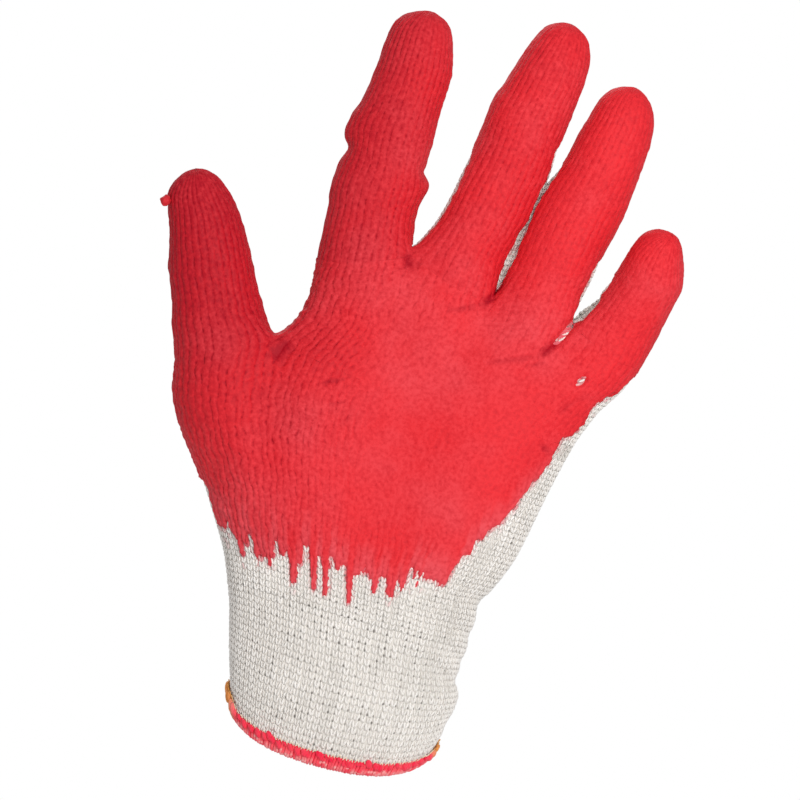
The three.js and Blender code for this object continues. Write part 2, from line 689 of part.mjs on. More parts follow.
// The overlocked hem clasps the cuff's edge: a folded band, closed under the edge and open above it.
function hem(material) {
  const edge = handRings[0];
  const above = handRings[1];
  const outer = COAT_CLEARANCE + HEM_THICKNESS;
  const inner = -KNIT_THICKNESS - COAT_CLEARANCE - HEM_THICKNESS;
  const under = HEM_THICKNESS + COAT_CLEARANCE;
  const top = under - HEM_HEIGHT;
  const section = [
    { out: COAT_CLEARANCE, down: top * 0.98 },
    { out: outer * 0.85, down: top * 0.86 },
    { out: outer, down: top * 0.2 },
    { out: outer * 0.62, down: under * 0.72 },
    { out: -KNIT_THICKNESS / 2, down: under },
    { out: inner * 0.86, down: under * 0.72 },
    { out: inner, down: top * 0.2 },
    { out: inner * 0.94, down: top * 0.86 },
    { out: -KNIT_THICKNESS - COAT_CLEARANCE, down: top * 0.98 },
    { out: -KNIT_THICKNESS - COAT_CLEARANCE, down: COAT_CLEARANCE },
    { out: COAT_CLEARANCE, down: COAT_CLEARANCE },
  ];
  const positions = edge.flatMap((start, index) => {
    const down = skin[start].clone().sub(skin[above[index]]).normalize();
    return section.map((corner) => skin[start].clone()
      .addScaledVector(outward[start], corner.out)
      .addScaledVector(down, corner.down));
  });
  const count = section.length;
  const faces = [];
  edge.forEach((start, index) => {
    const next = (index + 1) % edge.length;
    for (let corner = 0; corner < count; corner += 1) {
      const after = (corner + 1) % count;
      const [a, b] = [index * count + corner, index * count + after];
      const [c, d] = [next * count + corner, next * count + after];
      faces.push([a, b, d], [a, d, c]);
    }
  });
  return meshFrom('overlock_hem', positions, faces, material);
}

// The knot of yarn left near the thumb's tip, standing on the coat.
function yarnEnd(material) {
  const seat = thumb.sections.find((section) => section.at >= YARN_END_SEAT.at);
  const { centre, direction, side, front } = digitFrame(thumb, YARN_END_SEAT.at);
  const turned = THREE.MathUtils.degToRad(YARN_END_SEAT.turned);
  const out = side.clone().multiplyScalar(-Math.cos(turned)).addScaledVector(front, Math.sin(turned));
  const foot = centre.clone()
    .addScaledVector(side, -Math.cos(turned) * seat.left * thumb.width * HAND_WIDTH)
    .addScaledVector(front, Math.sin(turned) * seat.deep * thumb.deep * FINGER_DEPTH)
    .addScaledVector(out, COAT_CLEARANCE * 2 + COAT_THICKNESS);
  shapePalm(foot);
  const profile = YARN_END_PROFILE.map((row) => (
    new THREE.Vector2((row.out * YARN_END_WIDTH) / 2, row.up * YARN_END_LENGTH)
  ));
  const mesh = new THREE.Mesh(new THREE.LatheGeometry(profile, YARN_END_SIDE_COUNT), material);
  mesh.name = 'thumb_yarn_end';
  mesh.position.copy(foot);
  const upright = new THREE.Vector3(0, 1, 0);
  mesh.quaternion.setFromUnitVectors(upright, out.addScaledVector(direction, YARN_END_LEAN).normalize());
  return mesh;
}

const knitMaterial = new THREE.MeshStandardMaterial({ color: 0xcfc6bb, roughness: 0.95, metalness: 0 });
const latexMaterial = new THREE.MeshStandardMaterial({ color: 0xd32a31, roughness: 0.5, metalness: 0 });
const hemMaterial = new THREE.MeshStandardMaterial({ color: 0xc2404a, roughness: 0.9, metalness: 0 });

const group = new THREE.Group();
group.name = 'latex_coated_grip_glove';
const knitNodes = [...new Set(bands.map((band) => band.node))];
knitNodes.forEach((name) => group.add(knitSection(name, knitMaterial.clone())));
const coat = coatPatch();
group.add(wall(
  'latex_coat',
  coat.points,
  coat.directions,
  coat.faces,
  COAT_CLEARANCE,
  COAT_CLEARANCE + COAT_THICKNESS,
  latexMaterial,
));
group.add(hem(hemMaterial));
group.add(yarnEnd(latexMaterial.clone()));

export default group;
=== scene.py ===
import math

import bmesh
import bpy
import numpy as np
from mathutils import Euler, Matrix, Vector, noise


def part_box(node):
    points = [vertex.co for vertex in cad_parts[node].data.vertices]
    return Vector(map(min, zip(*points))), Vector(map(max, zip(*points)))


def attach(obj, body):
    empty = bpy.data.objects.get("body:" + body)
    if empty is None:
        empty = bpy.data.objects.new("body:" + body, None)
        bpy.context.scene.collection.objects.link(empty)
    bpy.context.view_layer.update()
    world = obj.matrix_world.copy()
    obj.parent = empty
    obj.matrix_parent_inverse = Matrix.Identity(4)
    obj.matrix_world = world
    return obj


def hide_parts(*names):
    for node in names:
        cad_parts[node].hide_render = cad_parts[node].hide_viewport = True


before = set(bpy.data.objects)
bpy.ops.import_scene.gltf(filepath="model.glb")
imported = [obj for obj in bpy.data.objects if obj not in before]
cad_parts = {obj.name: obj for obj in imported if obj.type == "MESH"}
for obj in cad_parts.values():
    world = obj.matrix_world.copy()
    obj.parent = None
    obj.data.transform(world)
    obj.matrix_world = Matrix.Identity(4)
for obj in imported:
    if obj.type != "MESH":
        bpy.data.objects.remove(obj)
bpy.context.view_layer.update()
MM = 0.001


# The knitted liner's shape. A glove machine knits the liner in one piece, without seams: the cuff, the
# palm and then each digit as a tube. Here its stitches are laid on one smooth skin that runs through
# the outer faces of the liner's sections, and columns of stitches run on from one section to the next.
LINER_SECTIONS = [
    "knit_wrist_cuff",
    "knit_five_finger_body",
    "knit_four_finger_body",
    "knit_thumb",
    "knit_index_finger",
    "knit_middle_finger",
    "knit_ring_finger",
    "knit_little_finger",
]
DIGITS = LINER_SECTIONS[3:]
GROWS_FROM = {
    "knit_five_finger_body": "knit_wrist_cuff",
    "knit_four_finger_body": "knit_five_finger_body",
    "knit_thumb": "knit_five_finger_body",
}
GROWS_FROM.update((name, "knit_four_finger_body") for name in DIGITS[1:])
FINE = 8
WALES_PER_COLUMN = 2
TIP_RING_SIZE = 0.22
SAME_PLACE = 2e-6
SIDE_START = 1.5
WALL_CORNER = math.radians(50)
JOINT_REACH = 0.4


def outer_wall(name):
    """A section's solid, merged and cut down to the outer face of its wall."""
    wall = bmesh.new()
    wall.from_mesh(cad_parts[name].data)
    bmesh.ops.remove_doubles(wall, verts=wall.verts, dist=SAME_PLACE)
    regions = []
    seen = set()
    for first in wall.faces:
        if first in seen:
            continue
        region = {first}
        border = [first]
        while border:
            for edge in border.pop().edges:
                if edge.calc_face_angle(math.pi) > WALL_CORNER:
                    continue
                fresh = [face for face in edge.link_faces if face not in region]
                region.update(fresh)
                border.extend(fresh)
        seen |= region
        regions.append(region)
    regions.sort(key=lambda region: sum(face.calc_area() for face in region))
    inner = {vert for face in regions[-2] for vert in face.verts}
    rest = [face for face in wall.faces if not inner.isdisjoint(face.verts)]
    bmesh.ops.delete(wall, geom=rest, context="FACES")
    return wall


def rims_of(wall):
    """The closed rims of an open wall, each in the direction that its faces run."""
    following = {}
    for edge in wall.edges:
        if edge.is_boundary:
            loop = edge.link_loops[0]
            following[loop.vert] = loop.link_loop_next.vert
    rims = []
    while following:
        vert = next(iter(following))
        rim = []
        while vert in following:
            rim.append(vert)
            vert = following.pop(vert)
        rims.append(rim)
    return rims


def middle_of(ring):
    return sum((vert.co for vert in ring), Vector()) / len(ring)


def rings_and_columns(wall):
    """The rings of a section from its lowest rim up, and each point's column from the thumb side on."""
    bottom = min(rims_of(wall), key=lambda rim: middle_of(rim).z)
    count = len(bottom)
    column = {vert: place for place, vert in enumerate(bottom)}
    rings = [bottom]
    while True:
        above = {e.other_vert(v): None for v in rings[-1] for e in v.link_edges}
        above = [vert for vert in above if vert not in column]
        if not above:
            break
        for vert in above:
            below = {column[e.other_vert(vert)] for e in vert.link_edges if e.other_vert(vert) in rings[-1]}
            last = [place for place in below if (place - 1) % count in below]
            column[vert] = last[0]
        rings.append(above)
    up = (middle_of(rings[-1]) - middle_of(rings[2])).normalized()
    across = Vector((up.z, 0, -up.x))
    side_pair = sorted(rings[2], key=lambda vert: vert.co.dot(across))[:2]
    side = min(side_pair, key=lambda vert: vert.co.y)
    turn = count - 1 - column[side]
    for vert in column:
        column[vert] = (column[vert] + turn) % count
    return rings, column


def as_mesh(shape, name):
    """The bmesh as a mesh, and the bmesh freed."""
    mesh = bpy.data.meshes.new(name)
    shape.to_mesh(mesh)
    shape.free()
    return mesh


def add_section(cage, name, number):
    """Adds a section to the cage as rows of four-sided faces that know their column, row and section."""
    wall = outer_wall(name)
    rim_layer = wall.verts.layers.int.new("rim")
    grid = wall.loops.layers.uv.new("grid")
    section = wall.faces.layers.int.new("section")
    rings, column = rings_and_columns(wall)
    for vert in rings[0] + (rings[-1] if len(rings[-1]) > 1 else []):
        vert[rim_layer] = 1
    if len(rings[-1]) == 1:
        pole = rings.pop()[0]
        tip = pole.co.copy()
        bmesh.ops.delete(wall, geom=[pole], context="VERTS")
        rim = [edge for edge in wall.edges if edge.is_boundary and set(edge.verts) <= set(rings[-1])]
        made = bmesh.ops.extrude_edge_only(wall, edges=rim)["geom"]
        ring = [part for part in made if isinstance(part, bmesh.types.BMVert)]
        for vert in ring:
            foot = next(e.other_vert(vert) for e in vert.link_edges if e.other_vert(vert) in rings[-1])
            column[vert] = column[foot]
            vert.co = tip.lerp(foot.co, TIP_RING_SIZE)
        rings.append(ring)
    row = {vert: place for place, ring in enumerate(rings) for vert in ring}
    count = len(rings[0])
    diagonals = [
        edge for edge in wall.edges
        if row[edge.verts[0]] != row[edge.verts[1]] and column[edge.verts[0]] != column[edge.verts[1]]
    ]
    bmesh.ops.dissolve_edges(wall, edges=diagonals, use_verts=False)
    for face in wall.faces:
        face[section] = number
        columns = [column[vert] for vert in face.verts]
        wraps = max(columns) - min(columns) > 1
        for loop in face.loops:
            place = column[loop.vert]
            loop[grid].uv = (count if wraps and place == 0 else place, row[loop.vert])
    mesh = as_mesh(wall, name + "_wall")
    cage.from_mesh(mesh)
    bpy.data.meshes.remove(mesh)
    return count, len(rings) - 1


def new_object(name, data):
    thing = bpy.data.objects.new(name, data)
    bpy.context.scene.collection.objects.link(thing)
    return thing


cage = bmesh.new()
section_size = [add_section(cage, name, number) for number, name in enumerate(LINER_SECTIONS)]
rim = cage.verts.layers.int["rim"]
bmesh.ops.remove_doubles(cage, verts=[vert for vert in cage.verts if vert[rim]], dist=JOINT_REACH * MM)
cage_mesh = as_mesh(cage, "liner_cage")
cage_object = new_object("liner_cage", cage_mesh)
smooth = cage_object.modifiers.new("Subdivision", "SUBSURF")
smooth.levels = int(math.log2(FINE))
smooth.render_levels = smooth.levels
smooth.uv_smooth = "NONE"


def read_vectors(items, name):
    values = np.empty(len(items) * 3)
    items.foreach_get(name, values)
    return values.reshape(-1, 3)


def read_numbers(items, name):
    values = np.empty(len(items), int)
    items.foreach_get(name, values)
    return values


# The cage is let out until the smooth skin runs through the solids' own corners.
corners = read_vectors(cage_mesh.vertices, "co")
for fitting in range(4):
    depsgraph = bpy.context.evaluated_depsgraph_get()
    fine_mesh = cage_object.evaluated_get(depsgraph).to_mesh()
    reached = read_vectors(fine_mesh.vertices, "co")
    if fitting == 3:
        break
    let_out = read_vectors(cage_mesh.vertices, "co") + corners - reached[:len(corners)]
    cage_mesh.vertices.foreach_set("co", let_out.ravel())
    cage_mesh.update()
    bpy.context.view_layer.update()

corner_vertex = read_numbers(fine_mesh.loops, "vertex_index")
corner_grid = np.empty(len(fine_mesh.loops) * 2)
fine_mesh.uv_layers["grid"].data.foreach_get("uv", corner_grid)
corner_grid = np.rint(corner_grid.reshape(-1, 2) * FINE).astype(int)
corner_section = np.repeat(read_numbers(fine_mesh.attributes["section"].data, "value"), 4)
outward = read_vectors(fine_mesh.vertices, "normal")

skin = {}
for number, name in enumerate(LINER_SECTIONS):
    columns, rows = section_size[number]
    at = corner_section == number
    order = np.zeros((rows * FINE + 1, columns * FINE + 1), int)
    order[corner_grid[at, 1], corner_grid[at, 0]] = corner_vertex[at]
    place = reached[order]
    normal = outward[order]
    # Up every wale the rows are spread evenly, because a machine knits all courses equally tall.
    walk = np.linalg.norm(np.diff(place, axis=0), axis=2)
    walk = np.concatenate([np.zeros((1, walk.shape[1])), np.cumsum(walk, axis=0)])
    even = walk.mean(axis=1) / walk.mean(axis=1)[-1]
    for wale in range(walk.shape[1]):
        row = np.interp(even * walk[-1, wale], walk[:, wale], np.arange(len(walk)))
        low = np.minimum(row.astype(int), len(walk) - 2)
        share = (row - low)[:, None]
        for grid in (place, normal):
            grid[:, wale] = grid[low, wale] * (1 - share) + grid[low + 1, wale] * share
    if name in DIGITS:
        top_normal = normal[-1].mean(axis=0)
        top_normal /= np.linalg.norm(top_normal)
        top = place[-1].mean(axis=0) + top_normal * 0.1 * MM
        place = np.concatenate([place, np.broadcast_to(top, (1,) + place[0].shape)])
        normal = np.concatenate([normal, np.broadcast_to(top_normal, (1,) + normal[0].shape)])
    steps = np.linalg.norm(np.diff(place, axis=0), axis=2).mean(axis=1)
    travel = np.concatenate([[0], np.cumsum(steps)])
    skin[name] = {"place": place, "normal": normal, "columns": columns, "travel": travel / MM, "phase": 0}
cage_object.evaluated_get(depsgraph).to_mesh_clear()
bpy.data.objects.remove(cage_object)
bpy.data.meshes.remove(cage_mesh)


def ease(low, high, value):
    share = np.clip((value - low) / (high - low), 0, 1)
    return share * share * (3 - 2 * share)


# Small forms are given as they show to an eye one metre in front of the middle of the palm.
EYE_AWAY = 1.0
EYE_LEVEL = (-8.1, 99.6)


def as_seen(place):
    near = EYE_AWAY + place[..., 1]
    across = EYE_LEVEL[0] + (place[..., 0] / MM - EYE_LEVEL[0]) / near
    up = EYE_LEVEL[1] + (place[..., 2] / MM - EYE_LEVEL[1]) / near
    return across, up


def from_line(across, up, start, end):
    """How far places lie from a line, in millimetres, and their share of the way along it."""
    run = (end[0] - start[0], end[1] - start[1])
    share = ((across - start[0]) * run[0] + (up - start[1]) * run[1]) / (run[0] ** 2 + run[1] ** 2)
    share = np.clip(share, 0, 1)
    return np.hypot(across - start[0] - share * run[0], up - start[1] - share * run[1]), share


# The fingers pucker at their joints. A slit runs on from the crotch beside the little finger into the
# palm, and behind the slits beside the ring finger sides of fingers lie close to each other.
SLIT = {"from": (38.6, 143.8), "to": (31.6, 128.6), "wide": 1.6, "deep": 2.6}
# A pucker's section, place, height and width.
PUCKERS = [
    ("knit_index_finger", (-45.0, 170.7), 0.9, 2.6),
    ("knit_index_finger", (-43.4, 166.7), -1.0, 2.0),
    ("knit_index_finger", (-19.9, 165.9), -0.7, 1.8),
    ("knit_index_finger", (-17.9, 162.2), 1.2, 2.4),
    ("knit_middle_finger", (16.4, 161.7), 0.9, 3.0),
    ("knit_middle_finger", (12.8, 156.0), -0.9, 2.0),
    ("knit_middle_finger", (-5.4, 192.7), 0.6, 3.5),
]
# A close side's section, facing, start, end and height.
CLOSE_SIDES = [
    ("knit_middle_finger", 1, 1, 34, 1.7),
    ("knit_ring_finger", -1, 1, 34, 1.7),
    ("knit_little_finger", -1, -4, 6, 1.3),
]
for name in LINER_SECTIONS[2:]:
    lay = skin[name]
    across, up = as_seen(lay["place"])
    out = np.zeros(across.shape)
    for section, middle, high, wide in PUCKERS:
        if section == name:
            far = np.hypot(across - middle[0], up - middle[1])
            out = out + high * np.exp(-(far / wide) ** 2)
    away, share = from_line(across, up, SLIT["from"], SLIT["to"])
    sunk = SLIT["deep"] * np.exp(-(away / SLIT["wide"]) ** 2) * (1 - 0.5 * share)
    out = out - sunk * (lay["normal"][:, :, 1] < 0.3)
    for section, side, low, high, more in CLOSE_SIDES:
        if section == name:
            span = ease(low - 3, low + 3, lay["travel"]) * ease(high + 6, high - 6, lay["travel"])
            facing = lay["normal"][:, :, 0] * side
            behind = np.clip(lay["normal"][:, :, 1] + 0.25, 0, 1)
            out = out + more * span[:, None] * ease(0.2, 0.7, facing) * ease(0, 0.35, behind)
    lay["place"] = lay["place"] + lay["normal"] * (out * MM)[:, :, None]

# The loose cuff puckers into soft folds on the little finger's side: place up it, depth and height.
FOLDS = [(48.7, 1.3, 3.4), (38.8, 0.7, 2.0), (31.0, 0.5, 1.6), (25.2, 1.4, 2.4), (12.0, 0.5, 2.4)]
for name in LINER_SECTIONS[:2]:
    place = skin[name]["place"]
    across = place[:, :, 0] / MM
    up = place[:, :, 2] / MM + (across - 30) * 0.25
    loose = np.clip((across - 10) / 16, 0, 1) ** 2
    dent = sum(deep * np.exp(-((up - level) / tall) ** 2) for level, deep, tall in FOLDS)
    skin[name]["place"] = place - skin[name]["normal"] * (loose * dent * MM)[:, :, None]

# Each section's wales start where those of the section that it grows from end, at its back.
for name, below in GROWS_FROM.items():
    ring = skin[name]["place"][0, :-1]
    ring_below = skin[below]["place"][-1, :-1]
    back = int(ring[:, 1].argmax())
    back_below = int(np.linalg.norm(ring_below - ring[back], axis=1).argmin())
    skin[name]["phase"] = ((back - back_below) / FINE * WALES_PER_COLUMN + skin[below]["phase"]) % 1


def on_skin(name, column, travel, height=0.0):
    """Places on a section's skin, from columns round it, and millimetres up it and above it."""
    lay = skin[name]
    steps = lay["travel"]
    travel = np.asarray(travel, float)
    u = np.mod(column, lay["columns"]) * FINE
    v = np.interp(travel, steps, np.arange(len(steps))) + np.minimum(travel, 0) / steps[1]
    if name not in DIGITS:
        v = v + np.maximum(travel - steps[-1], 0) / (steps[-1] - steps[-2])
    left = np.floor(u).astype(int)
    low = np.clip(np.floor(v).astype(int), 0, len(steps) - 2)
    du = (u - left)[:, None]
    dv = (v - low)[:, None]
    blended = []
    for grid in (lay["place"], lay["normal"]):
        lower = grid[low, left] * (1 - du) + grid[low, left + 1] * du
        upper = grid[low + 1, left] * (1 - du) + grid[low + 1, left + 1] * du
        blended.append(lower * (1 - dv) + upper * dv)
    place, normal = blended
    normal /= np.linalg.norm(normal, axis=1)[:, None]
    return place + normal * (np.broadcast_to(height, u.shape)[:, None] * MM)


def clouds(place, size, seed=0):
    """Soft noise from -1 to 1 in space, with lumps of a size in millimetres."""
    spots = place / (size * MM) + seed * 17.3
    return np.array([noise.noise(spot) for spot in spots.tolist()])


# The outline of the dipped coat, which the stitches need as well, because none are laid deep under it.
# The latex ran up to a line across the heel of the hand, soaked down some wales in tongues, stopped
# short in others as notches, and stepped up the little finger's side stitch by stitch.
EDGE_LINE = [
    (-95, 62), (-52.5, 50.6), (-48, 49.3), (-44.5, 48.3), (-41, 46.6), (-33, 45.5), (-23, 45),
    (-12, 45.5), (-2, 46.5), (8, 49), (14, 51.5), (18.5, 51), (19.6, 52.3), (20, 58.4), (21.7, 57.6),
    (21.9, 60.4), (23.6, 61.7), (24.2, 61.5), (24.4, 65.7), (26, 67.4), (26.8, 66.5), (27, 69.5),
    (28.8, 71), (30.3, 72.6), (33.7, 81.2), (35, 83.2), (35.6, 86.4), (37.1, 88.4), (38.6, 92.7),
    (39.2, 93.5), (39.4, 96.6), (40.2, 99.4), (40.5, 101.7), (43.3, 103), (43.5, 104.5), (45.5, 107.3),
    (46, 110.6), (46.8, 113.6), (48.8, 115.3), (49.6, 117.4), (52, 118.4), (53.6, 119.4), (60, 128),
]
# A notch's or tongue's place across, width and end.
NOTCHES = [
    (-47.2, 1.5, 51.8), (-45.1, 1.4, 54.3), (-39.4, 2.9, 49.9), (-34.0, 2.4, 44.3),
    (-31.7, 2.2, 50.2), (-27.7, 2.1, 47.4), (-22.9, 2.6, 51.0), (-18.4, 1.8, 48.7),
    (-15.0, 2.5, 50.0), (-10.8, 2.4, 48.0), (-5.9, 2.4, 46.3), (-4.1, 2.9, 48.4),
    (0.8, 2.6, 48.0), (5.2, 1.2, 48.1), (8.6, 1.8, 48.0), (8.9, 1.8, 53.0),
    (11.6, 1.8, 55.2), (15.3, 3.8, 51.2),
]
TONGUES = [
    (-39.7, 1.6, 42.5), (-35.3, 1.2, 42.2), (-31.0, 1.3, 41.9), (-29.0, 0.9, 46.1),
    (-23.2, 2.2, 39.2), (-17.2, 1.5, 38.5), (-13.5, 1.5, 37.6), (-12.0, 1.2, 46.1),
    (-6.2, 1.5, 38.0), (0.2, 1.3, 42.6), (4.6, 2.4, 43.6), (7.3, 1.5, 45.9),
    (11.6, 1.0, 48.6), (18.5, 2.6, 50.7),
]
# A bare side's section, side, start, end and missing columns.
BARE_SIDES = [
    ("hand", "right", 33, 126, 0.9),
    ("hand", "left", 42, 62, 1.1),
    ("knit_middle_finger", "left", -5, 36, 0.9),
    ("knit_middle_finger", "right", -5, 50, 0.6),
    ("knit_ring_finger", "left", -5, 44, 0.75),
    ("knit_ring_finger", "right", -5, 20, 0.9),
    ("knit_little_finger", "left", -5, 18, 0.8),
]
SIDE_STEP = 4.6
PAST_SIDE = 0.5
WRAPPED_TIP = 12.0
EDGE_SOFT = 0.09
MISSED_SPOT = {"across": 41.6, "up": 119.5, "long": 1.7, "wide": 0.9, "turned": 61}

# Each notch and tongue follows the wale that it lies on, so its column on the skin is looked up once.
body_lay = skin["knit_five_finger_body"]
body_across, body_up = as_seen(body_lay["place"])
body_front = np.where(body_lay["normal"][:, :, 1] < 0, 0, 1)
edge_steps = []
for across, wide, up in NOTCHES + TONGUES:
    away = np.hypot(body_across - across, body_up - up)
    ring, spot = np.unravel_index((away + body_front * 999).argmin(), away.shape)
    around = np.linalg.norm(np.diff(body_lay["place"][ring], axis=0), axis=1).sum() / MM
    edge_steps.append((spot / FINE, wide / 2 * body_lay["columns"] / around, up))


def coat_reach(name, column, travel, place):
    """How far inside the coat's outline a place lies, in millimetres. Below zero it is bare knit."""
    count = skin[name]["columns"]
    turn = np.mod(column + SIDE_START, count)
    half = count / 2
    steps = np.where(turn < half, np.minimum(turn, half - turn), -np.minimum(turn - half, count - turn))
    left = (turn < count / 4) | (turn > count * 3 / 4)
    across, up = as_seen(place)
    along = up if name not in DIGITS else travel
    for section, side, low, high, short in BARE_SIDES:
        if section == name or (section == "hand" and name not in DIGITS):
            on_side = left if side == "left" else ~left
            span = ease(low - 4, low + 4, along) * ease(high + 4, high - 4, along)
            steps = steps - on_side * span * (short + PAST_SIDE)
    ragged = clouds(place, 2.2, 1) * 0.7 + clouds(place, 7, 2) * 0.7
    reach = (steps + PAST_SIDE) * SIDE_STEP + ragged
    away, share = from_line(across, up, SLIT["from"], SLIT["to"])
    from_slit = (away - 1.25 + 0.75 * share) * 1.6 + ragged * 0.3 + 99 * (place[:, 1] > 4 * MM)
    if name in DIGITS:
        wale = np.floor(column * WALES_PER_COLUMN)
        wale_share = np.mod(np.sin(wale * 12.9898 + count) * 43758.5453, 1)
        from_tip = skin[name]["travel"][-1] - travel
        return np.minimum(from_slit, np.maximum(reach, WRAPPED_TIP + wale_share * 2.6 - from_tip + ragged))
    edge = np.interp(across, *zip(*EDGE_LINE))
    if name == "knit_five_finger_body":
        torn = clouds(place, 1.5, 14) * 0.14
        for wale, wide, end in edge_steps:
            away = np.abs(column - wale) + torn
            inside = ease(wide + EDGE_SOFT, wide - EDGE_SOFT, np.minimum(away, count - away))
            edge = edge + (end - edge) * inside * (across < 30)
    reach = np.minimum(reach, up - edge + clouds(place, 1.5, 3) * 1.1)
    turned = math.radians(MISSED_SPOT["turned"])
    over = across - MISSED_SPOT["across"]
    above = up - MISSED_SPOT["up"]
    length = (over * math.cos(turned) + above * math.sin(turned)) / MISSED_SPOT["long"]
    width = (above * math.cos(turned) - over * math.sin(turned)) / MISSED_SPOT["wide"]
    from_spot = (np.hypot(length, width) - 1) * 1.2
    reach = np.minimum(reach, from_slit)
    return np.where(place[:, 1] < 0, np.minimum(reach, from_spot), reach)


# The knitted liner. Cotton and polyester yarn, off-white with a grey cast, is knitted in plain jersey:
# each stitch shows as a V of two slanting legs, and the Vs stand in columns, the wales. Small holes
# stay open between the wales. Behind the Vs lies the ground of the fabric, closed to a wall and coloured
# with painted shade: a darker copy of the yarn's colours, with dark spots of painted shade at the holes.
COURSE_PITCH = 1.66
YARN_LIGHT = (0.95, 0.905, 0.855, 1)
YARN_DARK = (0.79, 0.745, 0.69, 1)
# The ground's colours are painted shade: a darker copy of the yarn's own colours.
GROUND_SHADE_LIGHT = (0.84, 0.79, 0.73, 1)
GROUND_SHADE_DARK = (0.66, 0.62, 0.57, 1)
HOLE_SHADE_COLOUR = (0.17, 0.155, 0.14, 1)
STAIN_COLOUR = (0.70, 0.10, 0.13, 1)
LEG_LENGTH = 0.58
LEG_WIDTH = 0.225
LEG_HEIGHT = 0.27
LEG_SPREAD = 0.235
LEG_LEAN = 0.24
LEG_TUCK = 0.15
LEG_BOW = 0.05
LEG_HIDDEN = 1.8
LEG_WIDTHS = (0.84, 1.08)
LEG_HEIGHTS = (0.82, 1.15)
LEG_JITTER = (0.03, 0.05, 0.035)
WALE_JITTER = (0.035, 0.02, 0.2)
GROUND_DEPTH = 0.16
WALL_THICKNESS = 1.1
HOLE_UP = 0.15
rng = np.random.default_rng(3312)


def one_stitch():
    """Two slanting legs of yarn in a cell that is one wale wide and one course tall."""
    stitch = bmesh.new()
    for side in (-1, 1):
        leg = bmesh.ops.create_uvsphere(stitch, u_segments=5, v_segments=4, radius=1)["verts"]
        bmesh.ops.rotate(stitch, verts=leg, matrix=Euler((math.pi / 2, 0, 0)).to_matrix())
        bmesh.ops.scale(stitch, verts=leg, vec=(LEG_WIDTH, LEG_LENGTH, LEG_HEIGHT))
        for vert in leg:
            up = vert.co.y
            vert.co.x += 0.5 + side * (LEG_SPREAD + up * LEG_LEAN - up * up * LEG_BOW)
            vert.co.y += 0.5
            vert.co.z -= up * LEG_TUCK
    return stitch


def repeated(mesh, across, up):
    """The mesh laid out flat in cells of size one, across and up."""
    thing = new_object("repeated", mesh)
    for count, step in ((across, (1, 0, 0)), (up, (0, 1, 0))):
        row = thing.modifiers.new("Array", "ARRAY")
        row.count = count
        row.use_relative_offset = False
        row.use_constant_offset = True
        row.constant_offset_displace = step
    depsgraph = bpy.context.evaluated_depsgraph_get()
    flat = bpy.data.meshes.new_from_object(thing.evaluated_get(depsgraph))
    bpy.data.objects.remove(thing)
    return flat


def add_layer(mesh, name, kind, values):
    layer = mesh.attributes.new(name, kind, "POINT")
    field = {"FLOAT": "value", "FLOAT_VECTOR": "vector", "FLOAT_COLOR": "color"}[kind]
    layer.data.foreach_set(field, np.ravel(values))


def stitches(name, courses):
    """The legs of all stitches of a section that show, bent onto its skin."""
    lay = skin[name]
    course = lay["travel"][-1] / courses
    cell = as_mesh(one_stitch(), "stitch")
    size = len(cell.vertices) // 2
    flat = repeated(cell, round(lay["columns"] * WALES_PER_COLUMN), courses)
    bpy.data.meshes.remove(cell)
    legs = read_vectors(flat.vertices, "co").reshape(-1, size, 3)
    middle = legs.mean(axis=1)
    count = len(legs)
    wale = np.floor(middle[:, 0]).astype(int)
    drawn = rng.normal(0, 1, (int(wale.max()) + 1, 3))[wale] * WALE_JITTER
    local = legs - middle[:, None]
    local[:, :, 0] *= (rng.uniform(*LEG_WIDTHS, count) + drawn[:, 0])[:, None]
    local[:, :, 2] *= rng.uniform(*LEG_HEIGHTS, count)[:, None]
    jitter = rng.normal(0, 1, (count, 3)) * LEG_JITTER
    jitter[:, 0] += drawn[:, 1]
    column = (middle[:, 0] + lay["phase"]) / WALES_PER_COLUMN
    centre = on_skin(name, column, middle[:, 1] * course)
    reach = coat_reach(name, column, middle[:, 1] * course, centre)
    patch = clouds(centre, 3, 5) + rng.uniform(-0.4, 0.4, count)
    stained = ease(-6, 0.5, reach) * ease(0.25, 0.65, patch) * 0.8
    stained = np.maximum(stained, ease(-0.7, 0.5, reach))
    yarn = np.concatenate([local[:, :, :2], np.zeros((count, size, 1))], axis=2)
    yarn[:, :, 2] = (rng.uniform(0, 1, count) + drawn[:, 2])[:, None]
    legs = middle[:, None] + local + jitter[:, None]
    column = (legs[:, :, 0].ravel() + lay["phase"]) / WALES_PER_COLUMN
    put = on_skin(name, column, legs[:, :, 1].ravel() * course, legs[:, :, 2].ravel())
    flat.vertices.foreach_set("co", put.ravel())
    add_layer(flat, "yarn", "FLOAT_VECTOR", yarn)
    add_layer(flat, "stain", "FLOAT", np.repeat(stained, size))
    add_layer(flat, "hidden", "FLOAT", np.repeat(reach > LEG_HIDDEN, size))
    return flat


def sheet_for(name, across, up):
    """A flat sheet in squares, with each corner's column round a section and millimetres up it."""
    sheet = bmesh.new()
    bmesh.ops.create_grid(sheet, x_segments=across, y_segments=up, size=0.5)
    flat = as_mesh(sheet, "sheet")
    spots = read_vectors(flat.vertices, "co") + 0.5
    return flat, spots[:, 0] * skin[name]["columns"], spots[:, 1] * skin[name]["travel"][-1]


